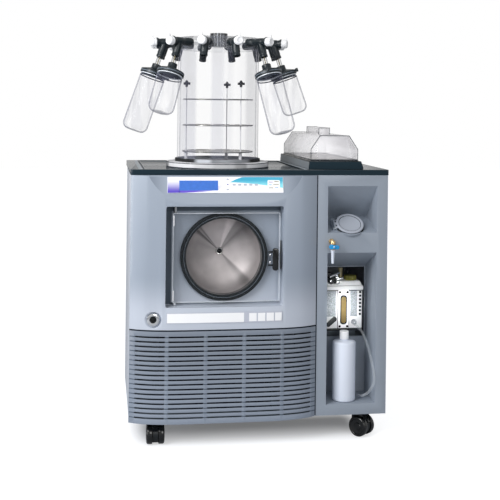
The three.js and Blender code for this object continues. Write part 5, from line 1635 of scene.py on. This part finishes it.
@dataclass
class VacuumPump:
    """The rotary vane pump seen through the bay: its oil window, plates, fittings, motor and rail."""

    left: float = 250
    right: float = 405
    y: float = FRONT + 100
    base: float = 384
    top: float = 545
    axle: float = 455.7
    rail_foot: float = 342.3
    motor_fins: int = 13
    fin_pitch: float = 14
    plate_low: Point2 = (311, 387)
    plate_high: Point2 = (352, 530)
    stud_x: float = 396
    stud_first: float = 438.5
    stud_pitch: float = 13.8
    stud_count: int = 7

    def build(self) -> None:
        """Builds the body first, then what is fastened to it."""
        self._body()
        self._front()
        self._crown()
        self._fittings()

    def _body(self) -> None:
        """Front block with its head, finned motor, bell and rail."""
        x0, x1, y, z0, z1 = self.left, self.right, self.y, self.base, self.top
        case = block("pump_case", (x0, y, z0), (x1, y + 120, z1), 4, 3)
        ledge = block("ledge", (x0 - 3, y - 3, z1 - 15), (x1 + 3, y + 20, z1), 2, 3)
        slope = [(x0, z1 - 1), (x1, z1 - 1), (x1 - 8, z1 + 17), (x0 + 60, z1 + 17), (x0 + 46, z1 + 6)]
        head = prism("head", [*slope, (x0 + 26, z1 + 10), (x0, z1 + 30)], Axis.Y, y + 6, y + 120)
        rounded(head, 2.5, 3)
        seated(gathered(case, ledge, head), PUMP_WHITE, ["vacuum_pump"])
        axle = aimed(((x0 + x1) / 2, y + 120, self.axle), BACKWARD)
        shape = [(0, -2), (60, -2), (60, 4)]
        for fin in range(self.motor_fins):
            shape += raised(6 + fin * self.fin_pitch, [(60, 0), (66, 1), (66, 6), (60, 7)])
        shape += [(60, 196), (66, 198), (66, 230), (60, 238), (48, 240), (0, 240)]
        seated(lathe("pump_motor", shape, axle, 56), MOTOR_GREY)
        rail = block("pump_rail", (x0 + 8, y + 70, self.rail_foot), (x1 - 8, y + 370, z0 + 16), 2)
        seated(rail, MOTOR_GREY)

    def _front(self) -> None:
        """Window plate with its amber glass and screws, two label fields, the studs and the base."""
        y, z = self.y, self.top
        (x0, z0), (x1, z1) = self.plate_low, self.plate_high
        plate = block("window_plate", (x0, y - 4, z0), (x1, y + 1, z1), 1.4, 3)
        seated(plate, WHITE)
        bezel = prism("window_bezel", rounded_rectangle((318.5, 401), (345, 511), 11), Axis.Y, y - 5.2, y - 3)
        rounded(bezel, 0.8)
        line = block("ledge_seam", (self.left - 2, y - 1.4, z - 18.4), (self.right + 2, y + 0.2, z - 15.6))
        shadow = block("plate_shadow", (x0 - 2, y - 1, z0 - 1), (x1 + 2, y + 0.2, z1 + 1))
        seated(gathered(bezel, line, shadow), SEAM_DARK)
        glass = prism("oil_glass", rounded_rectangle((322.5, 406), (341, 506), 9), Axis.Y, y - 7, y - 4)
        seated(rounded(glass, 1.6, 3), OIL)
        screws = [
            disc("plate_screw", 4.4, 0, 2.2, aimed((x, y - 4, height), AHEAD), 0.6, 24)
            for x in (x0 + 6, x1 - 6) for height in (z0 + 6.5, z1 - 8)
        ]
        seated(gathered(*screws), BORE_BLACK)
        for name, low, high in (("left_label", 258, 303), ("right_label", 358, 385)):
            seated(block(name, (low, y - 0.6, 430), (high, y + 0.2, 527), 0.2, 1), LABEL)
        heights = [self.stud_first + self.stud_pitch * i for i in range(self.stud_count)]
        studs = [disc("stud", 4.6, 0, 2.6, aimed((self.stud_x, y, h), AHEAD), 0.8, 20) for h in heights]
        seated(gathered(*studs), SEAM_DARK)
        low, high = self.base - 8, self.base + 2
        foot = block("pump_foot", (self.left - 1, y - 1, low), (self.right + 1, y + 118, high), 1)
        seated(foot, BLACK)

    def _crown(self) -> None:
        """What stands on the head: filler cap, tan pipe, chrome unions and the gas ballast knob."""
        y, z = self.y, self.top
        cap = prism("filler_cap", lobed((367, y + 40), 23, 1.6, 10, 60), Axis.Z, z + 16, z + 33)
        rounded(cap, 1.6, 2)
        seated(cap, OLIVE)
        pipe = [(0, 16), (11, 16), (11, 25), (8, 26), (8, 54), (9.5, 55), (9.5, 62), (0, 62)]
        seated(lathe("inlet_pipe", raised(z, pipe), aimed((330, y + 46, 0)), 40), TAN)
        unions = [
            disc("union", 9, z + 16, z + 30, aimed((312, y + 30, 0)), 1.5, 6),
            disc("union", 6, z + 28, z + 38, aimed((312, y + 30, 0)), 1, 28),
            disc("union", 5, -14, 14, aimed((322, y + 26, z + 22), (1, 0, 0.2)), 1, 28),
            disc("union", 6.5, 0, 6, aimed((311, y + 6, z + 12), AHEAD), 1.4, 28),
        ]
        seated(gathered(*unions), CHROME)
        hood = block("filter_hood", (self.left + 6, y + 26, z + 24), (self.left + 40, y + 60, z + 46), 3, 3)
        strap = block("strap", (self.left + 31, y + 2, z + 8), (self.left + 54, y + 28, z + 27), 3, 3)
        seated(gathered(hood, strap), GLOSS_BLACK)
        slant = aimed((self.left + 34, y + 22, z + 30), (1, 0.3, 0.35))
        line = disc("line", 3.4, 0, 46, slant, 0.8, 20)
        seated(gathered(line, disc("flange", 7, -2, 3, slant, 0.8, 28)), CHROME)
        knob = [(4.5, -8), (6, -9), (10, -9), (11, -7.5), (11, 6), (4.5, 6)]
        place = aimed((self.left + 34, y + 6, z + 18), BACKWARD)
        seated(lathe("ballast_knob", knob, place, 40), BLACK)
        seated(disc("ballast_core", 4.4, -6, 5, place, 0.8, 28), CHROME)

    def _fittings(self) -> None:
        """The oval drain lever, the clear elbow and the barb that the hose leaves."""
        y = self.y
        outline = [*arc((274, 401), 9, 110, 290, 8), *arc((296, 421), 10, -70, 110, 8)]
        lever = rounded(prism("drain_toggle", outline, Axis.Y, y - 6, y - 0.5), 1.5, 3)
        seated(lever, BLACK)
        place = aimed((372, y, 410), BACKWARD)
        elbow = lathe("clear_elbow", [(5, -16), (8, -16), (9, -14), (9, 0), (5, 0)], place, 40)
        collar = disc("collar", 10.5, -4, -FIT, place, 0.8, 40)
        seated(gathered(elbow, collar), HOSE_CLEAR)
        barb = [(0, -19), (5.5, -19), (6.5, -17.5), (6.5, -12), (5, -11), (6.5, -7)]
        barb += [(5, -6.5), (6.5, -2), (5.2, -FIT), (0, -FIT)]
        place = aimed((376, FRONT + 78, 402), (22, -11, -25))
        seated(lathe("barb", barb, place, 32), HOSE_CLEAR)


@dataclass
class OilBottle:
    """The white oil mist bottle with its ribbed cap."""

    x: float = 325
    y: float = FRONT + 56
    foot: float = 130.3
    radius: float = 43
    height: float = 210

    def build(self) -> None:
        """Builds the bottle and its cap."""
        r, h, place = self.radius, self.height, aimed((self.x, self.y, self.foot))
        profile = [(0, 3), (26, 2), (34, 0), (r - 4, 0.6), (r - 1, 3), (r, 8)]
        profile += raised(h, [(r, 3), (r - 1, 6.4), (r - 3.4, 8.6), (r - 8, 10), (19, 13), (16, 14)])
        profile += raised(h, [(14.5, 15), (14, 26), (0, 26)])
        seated(lathe("mist_bottle", profile, place, 72), MILKY, ["oil_bottle"])
        low, high = h + 16, h + 46
        outline = lobed((self.x, self.y), 16.4, 0.6, 28, 112)
        cap = rounded(prism("screw_cap", outline, Axis.Z, self.foot + low, self.foot + high), 1.8, 3, 60)
        cut(cap, disc("bore", 14.3, low - 2, h + 26.3, place, 0.3, 32))
        seated(cap, WHITE, ["bottle_cap"])


# ---------------- shell-freezing bath
@dataclass
class Bath:
    """The bath's dark frame, steel tub and clear cover with its grip block."""

    left: float = 174
    right: float = 380
    low: float = TOP + FIT
    height: float = 30
    y0: float = FRONT + 14
    y1: float = BACK - 6
    cover_x: float = 274

    def build(self) -> None:
        """Builds the frame, the tub and the cover."""
        self._frame()
        tub = refined("bath_tub", "steel_tub", 1.2, 2)
        seated(tub, STEEL, ["bath_tub"])
        self._cover()

    def _frame(self) -> None:
        """Sloping moulded frame that stands on the worktop, with a painted light strip on its left side."""
        z, top = self.low, self.low + self.height
        x0, x1 = self.left, self.right
        section = [(x0, z), (x1, z), (x1, z + 8), (x1 - 8, top), (x0 + 2, top), (x0, z + 8)]
        ring = prism("bath_surround", section, Axis.Y, self.y0, self.y1)
        low, high = (x0 + 10.7, self.y0 + 23.7, z - 5), (x1 - 16.7, self.y1 - 27.7, top + 5)
        cut(ring, block("hole", low, high, 3, 3))
        seated(rounded(ring, 2, 3, 20), FRAME_BLACK, ["bath_frame"])
        section = [(x0 + 2, z + 1), (x1 - 2, z + 1), (x1 - 2, z + 8), (x1 - 9, top - 2), (x0 + 3.5, top - 2)]
        face = prism("surround_face", section, Axis.Y, self.y0 - 0.3, self.y0 + 0.2)
        seated(face, EDGE_NAVY)
        # Painted light: a paler strip on the frame's left side, where the light falls.
        side = [(x0 - FIT, z + 1), (x0 - FIT, z + 8), (x0 + 1.6, top - 3)]
        side += [(x0 + 2.4, top - 3), (x0 + 0.4, z + 8), (x0 + 0.4, z + 1)]
        seated(prism("surround_side", side, Axis.Y, self.y0 + 2, self.y1 - 2), BATH_SIDE_LIGHT)

    def _cover(self) -> None:
        """Clear vaulted cover: a hollow hood with rounded shoulders, its seal and the grip on its roof."""
        x, z = self.cover_x, self.low + self.height + 2.6
        y0, y1 = FRONT + 30, BACK - 32
        outer = self._section(x, z, 89.5, 55.5, 41, 92)
        hood = rounded(prism("bath_hood", outer, Axis.Y, y0, y1), 5, 4, 20)
        inner = self._section(x, z - 6, 85.5, 52.5, 45, 94)
        hollow = rounded(prism("hollow", inner, Axis.Y, y0 + 4, y1 - 4), 3, 3, 20)
        grip = block("grip", (x - 22, y0 + 175, z + 86), (x + 22, y0 + 401, z + 117), 3, 3)
        well = block("grip_hollow", (x - 18, y0 + 179, z + 80), (x + 18, y0 + 397, z + 113), 2)
        cut(welded(hood, grip), hollow, well)
        seated(hood, COVER_CLEAR, ["bath_cover"], 25, body="bath_cover")
        edges = []
        outer = self._section(x, z, 89.7, 55.6, 41, 92.2)
        inner = self._section(x, z + 2.4, 87.6, 54, 38.2, 87.6)
        for y in (y0 - 0.2, y1 - 0.8):
            ring = prism("cover_edge", outer, Axis.Y, y, y + 1)
            edges.append(cut(ring, prism("inside", inner, Axis.Y, y - 1, y + 2)))
        for gy in (y0 + 174.8, y0 + 400.2):
            bar = block("grip_edge", (x - 22.2, gy, z + 91), (x + 22.2, gy + 1, z + 117.2))
            edges.append(cut(bar, block("inside", (x - 20.2, gy - 1, z + 90), (x + 20.2, gy + 2, z + 115))))
        seated(gathered(*edges), EDGE_GREY, body="bath_cover")
        band = rectangle((x - 89.6, z), (x + 89.6, z + 3.4))
        seal = prism("cover_seal", band, Axis.Y, y0 - 0.1, y1 + 0.1)
        cut(seal, block("seal_hole", (x - 84, y0 + 5, z - 5), (x + 84, y1 - 5, z + 9)))
        seated(seal, RUBBER, body="bath_cover")

    @staticmethod
    def _section(
        x: float, z: float, half: float, top_half: float, shoulder: float, height: float,
    ) -> list[Point2]:
        """The hood's section in X and Z."""
        right = [(x + half, z), (x + half, z + shoulder), (x + top_half, z + height)]
        return [*right, *((2 * x - px, pz) for px, pz in reversed(right))]


# ---------------- drying drum
@dataclass
class Drum:
    """The clear drum on its polished plate, its port ring with twelve valves, its plug and its rack."""

    x: float = DRUM_AXIS[0]
    y: float = DRUM_AXIS[1]
    radius: float = 156
    wall: float = 8
    plate: float = 196
    top: float = 1479
    ring_height: float = 44.7
    arm_count: int = 12
    first_angle: float = 20.3
    arm_z: float = 1457
    reach: float = 245
    branch_at: float = 212
    branch_tilt: float = 19.5
    shelves: Point3 = (53, 153, 252)
    rod_angles: Point3 = (173, -67, 53)
    rod_circle: float = 124
    flask_arms: tuple[tuple[str, int, float], ...] = (
        ("flask_large_left", 5, 229), ("flask_small_left", 4, 156),
        ("flask_large_right", 1, 229), ("flask_small_right", 0, 156),
    )

    def build(self) -> None:
        """Builds the drum from the plate upwards, then the valves and the flasks."""
        self._foot()
        self._wall()
        self._manifold()
        self._plug()
        self._rack()
        for index in range(self.arm_count):
            self._knob(index)
        for name, index, length in self.flask_arms:
            self._flask(name, index, length)

    def _at(self) -> Matrix:
        """The drum's own axis, with heights from the floor."""
        return aimed((self.x, self.y, 0))

    def _foot(self) -> None:
        """Polished base plate with its port, and the rubber ring that the wall stands in."""
        z, r = TOP - 2.7, self.plate
        profile = [(41, -50), (45, -50), (45, 0), (r - 1, 0), (r, 1), (r, 17), (r - 1.2, 19.8)]
        profile = raised(z, [*profile, (r - 3.5, 20.7), (41, 20.7)])
        seated(lathe("base_plate", profile, self._at(), 160), PLATE, ["drum_base_plate"])
        # Painted shade on the plate's rim, dark where it is seen edge on.
        rim_shade = rectangle((r + 0.2, z + 1.2), (r + 0.5, z + 17))
        seated(lathe("plate_edge_shade", rim_shade, self._at(), 160), PLATE_EDGE_SHADE)
        edge = [(r - 0.6, 0), (r + 0.3, 0), (r + 0.4, 2.6), (r - 0.6, 2.6)]
        lines = [lathe("plate_line", raised(h, edge), self._at(), 160) for h in (z + 0.2, z + 16.4)]
        seated(gathered(*lines), EDGE_GREY)
        ring = [(144, 0), (162.5, 0), (163.5, 1), (163.5, 10), (161.5, 11.7), (156.3, 11.7)]
        ring = raised(z + 21, [*ring, (156.3, 4), (144, 4)])
        seated(lathe("drum_seal", ring, self._at(), 128), SEAL_RUBBER, ["drum_gasket"])

    def _wall(self) -> None:
        """The clear acrylic wall."""
        low, high, r = TOP + 22.6, self.top - self.ring_height - FIT, self.radius
        profile = [(r - self.wall, low + 1), (r - self.wall + 1, low), (r - 1, low), (r, low + 1)]
        profile += [(r, high - 1), (r - 1, high), (r - self.wall + 1, high), (r - self.wall, high - 1)]
        seated(lathe("clear_wall", profile, self._at(), 144), DRUM_CLEAR, ["drum_wall"])

    def _turn(self, index: int) -> float:
        """An arm's angle in radians."""
        return math.radians(self.first_angle + 360 / self.arm_count * index)

    def _branch(self, index: int) -> Matrix:
        """The place of a valve's branch, whose local Z runs down and outwards.

        Args:
            index: Number of the arm.

        Returns:
            The place.
        """
        tilt, turn = math.radians(self.branch_tilt), self._turn(index)
        out = Vector((math.cos(turn), -math.sin(turn), 0))
        root = Vector((self.x, self.y, self.arm_z)) + out * self.branch_at
        return aimed(tuple(root), tuple(out * math.sin(tilt) - Vector((0, 0, math.cos(tilt)))))

    def _arm(self, index: int) -> Matrix:
        """The place of an arm: its local Z runs outwards and its local X downwards."""
        turn = Matrix.Rotation(-self._turn(index), 4, "Z") @ Matrix.Rotation(math.pi / 2, 4, "Y")
        return Matrix.Translation(spot(self.x, self.y, self.arm_z)) @ turn

    def _manifold(self) -> None:
        """Clear port ring with its lid, and the black valve bodies that reach out of it."""
        r, z, h = self.radius, self.top - self.ring_height, self.ring_height
        profile = [(r - 22, z), (r - 1.5, z), (r, z + 1.5), (r, z + h - 2), (r - 2, z + h), (30.3, z + h)]
        profile += [(30.3, z + h - 20), (r - 22, z + h - 20)]
        ring = lathe("port_ring_and_lid", profile, self._at(), 144)
        seated(ring, LID_CLEAR)
        arm = [(0, 148), (13.5, 148), (15, 149.5), (15, 176), (13.6, 178), (13.6, 196), (15.2, 200)]
        arm += [(15.2, 226), (14, 228), (14, 234), (18, 242), (18, 244.2), (17, 245), (0, 245)]
        branch = [(0, 0), (14.5, 6), (14.5, 44), (13.6, 46), (13.6, 50), (14.5, 52), (14.5, 58.6)]
        branch += [(13.2, 60), (9.3, 60), (9.3, 26), (0, 26)]
        bodies = []
        for index in range(self.arm_count):
            bodies.append(lathe("arm", arm, self._arm(index), 40))
            bodies.append(lathe("branch", branch, self._branch(index), 40))
        seated(gathered(*bodies), RUBBER, ["manifold_top"])

    def _plug(self) -> None:
        """The glossy plug in the lid."""
        top = self.top + 19
        profile = raised(top, [(0, -52), (29, -52), (30, -51)])
        profile += raised(self.top, [(30, FIT), (33, FIT), (34, 1.3)])
        profile += raised(top, [(34, -7), (33, -6), (33, -4.6), (34, -3.8), (34, -1.4), (32.6, 0), (26, 0)])
        profile += raised(top, [(25, -1.4), (0, -1.4)])
        seated(lathe("lid_plug", profile, self._at(), 72), PLUG_GLOSS, ["centre_plug"])

    def _rack(self) -> None:
        """Three rimmed steel shelves on three rods, held by black star nuts."""
        shelf = [(0, 1.2), (132.5, 1.2), (133.5, 0), (135, 0), (135.5, 0.8), (135.5, 4), (134.2, 4)]
        shelf += [(134.2, 2.2), (0, 2.2)]
        shelves = [lathe("shelf", raised(TOP + height, shelf), self._at(), 96) for height in self.shelves]
        hub = [(0, 300), (5, 301), (5, 309), (7.4, 310), (7.4, 318), (5.5, 321), (2.4, 326), (0, 326.6)]
        rods, nuts = [], []
        for turn in (math.radians(angle) for angle in self.rod_angles):
            x, y = self.x + self.rod_circle * math.cos(turn), self.y - self.rod_circle * math.sin(turn)
            place = aimed((x, y, 0))
            rods.append(disc("rod", 2.1, TOP + 18.6, TOP + 320, place, 0.6, 24))
            rods.append(disc("foot", 6, TOP + 18.6, TOP + 53, place, 1, 28))
            star = prism("nut", lobed((x, y), 10.6, 3.9, 5, 60), Axis.Z, TOP + 309, TOP + 318)
            nuts.append(rounded(star, 1.4, 3))
            nuts.append(lathe("nut_hub", raised(TOP, hub), place, 32))
        seated(gathered(*shelves), STEEL, ["drying_rack"])
        for pieces, name, slot, finish in (
            (rods, "rack_rods", "steel", ROD_STEEL), (nuts, "star_nuts", "black_plastic", BLACK),
        ):
            joined = gathered(*pieces)
            joined.name = name
            seated(joined, finish)

    def _knob(self, index: int) -> None:
        """White valve knob: a dished cap with a grip groove and a pointer fin.

        Args:
            index: Number of the arm.
        """
        name, place, start = f"valve_knob_{index + 1:02d}", self._arm(index), self.reach + FIT
        profile = [(0, 0), (15, 0), (16.5, 2), (16.5, 6), (15.6, 7), (15.6, 9), (16.5, 10), (16.5, 17)]
        profile += [(15, 20.5), (12.4, 22.6), (11, 23), (9, 22.4), (7.6, 21), (0, 20.6)]
        knob = lathe(f"{name}_cap", raised(start, profile), place, 48)
        fin = block("fin", (-24.5, -2.5, start + 13), (-13, 2.5, start + 20), 1.2, 2, place)
        seated(gathered(knob, fin), WHITE, [name], body=name)

    def _flask(self, name: str, index: int, length: float) -> None:
        """A glass flask under its rubber cap, with the clear adapter tube.

        Args:
            name: Name of the flask.
            index: Number of the arm.
            length: Length of the glass below the cap.
        """
        place = self._branch(index)
        neck = [(6.5, 89), (15.5, 89), (17, 90.5), (17, 104), (19, 107.5), (26, 110), (44, 116.5)]
        neck += [(49.5, 118.6), (51, 120.6)]
        brim = [(51, 123.6), (49.6, 125), (49.6, 126.6), (51, 128), (51, 131.6), (49.5, 133.4)]
        brim += [(47, 134), (43.3, 134), (43.3, 123.7), (6.5, 123.7)]
        cap = lathe(f"{name}_rubber", [*neck, *brim], place, 72)
        seated(cap, RUBBER, [f"{name}_cap"])
        # Painted light and shade on each cap: a glint line between the lips, a pale ring below the brim and a
        # dark shade ring on the glass.
        for kind, ring, slot, finish in (
            ("lip", rectangle((49.8, 124.9), (50.8, 127.1)), "trim", LINE_GREY),
            ("ring", rectangle((43.4, 134.2), (47.6, 137)), "trim", EDGE_HIGHLIGHT),
            ("shade", [(47.2, 141.4), (48.2, 144.4), (48.2, 145.4), (47.2, 142.4)], "rubber", EDGE_GREY),
        ):
            seated(lathe(f"{name}_{kind}", ring, place, 72), finish)
        hook = block(f"{name}_hook", (-64, -4, 122), (-49, 4, 127), 1.5, 2, place)
        knot = disc(f"{name}_knot", 5, 118, 132, moved(place, -62), 1.2, 20)
        seated(gathered(hook, knot), RUBBER)
        tube_wall = lathe(f"{name}_tube", [(6.5, 28), (8.6, 28), (9, 28.5), (9, 89), (6.5, 89)], place, 36)
        seated(tube_wall, TUBE_GLASS)
        seated(disc(f"{name}_stem", 2, 30, 96, place, 0.4, 16), TAN)
        end = 124 + length
        mouth = [(40.6, 124), (42.4, 124), (43, 124.3), (43, 135), (43.6, 138), (47, 141.5), (48, 145)]
        outer, inner = arc((24, end - 24), 24, 0, 90, 8), arc((24, end - 24), 21.4, 90, 0, 8)
        profile = [*mouth, *outer, (0, end), (0, end - 2.6), *inner, (45.4, 145), (44.6, 142), (40.4, 136)]
        glass = lathe(f"{name}_glass", profile, place, 96)
        seated(glass, GLASS, [name], 50)


# ---------------- running gear and refrigeration
@dataclass
class Casters:
    """Four black twin casters."""

    wheel: float = 37.5
    trail: float = 26
    corners: tuple[tuple[str, float, float, float], ...] = (
        ("front_left", -375, FRONT + 62, 0), ("front_right", 375, FRONT + 62, 40),
        ("back_left", -375, BACK - 70, 0), ("back_right", 375, BACK - 70, 0),
    )

    def build(self) -> None:
        """Builds the four casters."""
        for corner, x, y, turn in self.corners:
            fork = refined(f"caster_fork_{corner}", f"fork_{corner}", 1.6, 3, 25)
            seated(fork, GLOSS_BLACK, [f"caster_fork_{corner}"], body=f"caster_{corner}")
            self._wheels(corner, x, y, math.radians(turn))

    def _wheels(self, corner: str, x: float, y: float, turn: float) -> None:
        """Two wheels on one axle, with treads and dished hubs.

        Args:
            corner: Name of the corner.
            x: The swivel's X.
            y: The swivel's Y.
            turn: Angle of the swivel in radians.
        """
        reach = Vector((0, -self.trail, 0))
        reach.rotate(Matrix.Rotation(turn, 3, "Z"))
        middle = Matrix.Translation(spot(x + reach.x, y + reach.y, self.wheel))
        place = middle @ Matrix.Rotation(turn, 4, "Z") @ Matrix.Rotation(math.pi / 2, 4, "Y")
        w = self.wheel
        half = [(5, 11), (w - 3, 11), (w - 1, 11.6), (w, 14), (w, 26), (w - 0.8, 29), (w - 3.4, 31.4)]
        half += [(w - 6, 32), (w - 9, 31), (w - 11, 28), (14, 26.4), (12, 29), (0, 29)]
        mirrored = [(r, -h) for r, h in reversed(half)]
        web = lathe(f"web_{corner}", rectangle((5.8, -9.5), (w - 5, 9.5)), place, 48)
        seated(web, BLACK, body=f"caster_{corner}")
        wheels = lathe(f"wheels_{corner}_pair", [*mirrored, *half], place, 72)
        seated(wheels, GLOSS_BLACK, [f"caster_wheels_{corner}"], body=f"wheels_{corner}")


@dataclass
class Refrigeration:
    """Compressor, condenser and fan behind the grille."""

    compressor: Point3 = (-250, 110, 93.3)

    def build(self) -> None:
        """Builds the compressor and refines the condenser and the fan."""
        profile = [(0, 0), (108, 0), (110, 2), (110, 12), (108, 14), (78, 14), (86, 20), (91, 32)]
        profile += [(92, 42), (92, 118), (94, 121), (94, 127), (92, 130), (92, 186), (89, 206), (80, 222)]
        profile += [(62, 232), (30, 235), (0, 235)]
        shell = lathe("compressor_shell", profile, aimed(self.compressor), 72)
        seated(shell, COMPRESSOR_BLACK, ["compressor"])
        seated(refined("condenser", "condenser_core", 0.5, 1), FINS, ["condenser"])
        blades = refined("fan_rotor", "fan_blades", 0.6, 2)
        seated(blades, BLACK, ["fan_rotor"], body="fan")


def main() -> None:
    """Builds everything."""
    logging.basicConfig(level=logging.INFO, format="%(name)s: %(message)s")
    parts = (
        Studio(), OilHose(), Cabinet(), FrontPrints(), ColdChamber(), InclinedPort(), DrainValve(),
        VacuumPump(), OilBottle(), Bath(), Drum(), Casters(), Refrigeration(),
    )
    for part in parts:
        part.build()


if __name__ == "__main__":
    main()
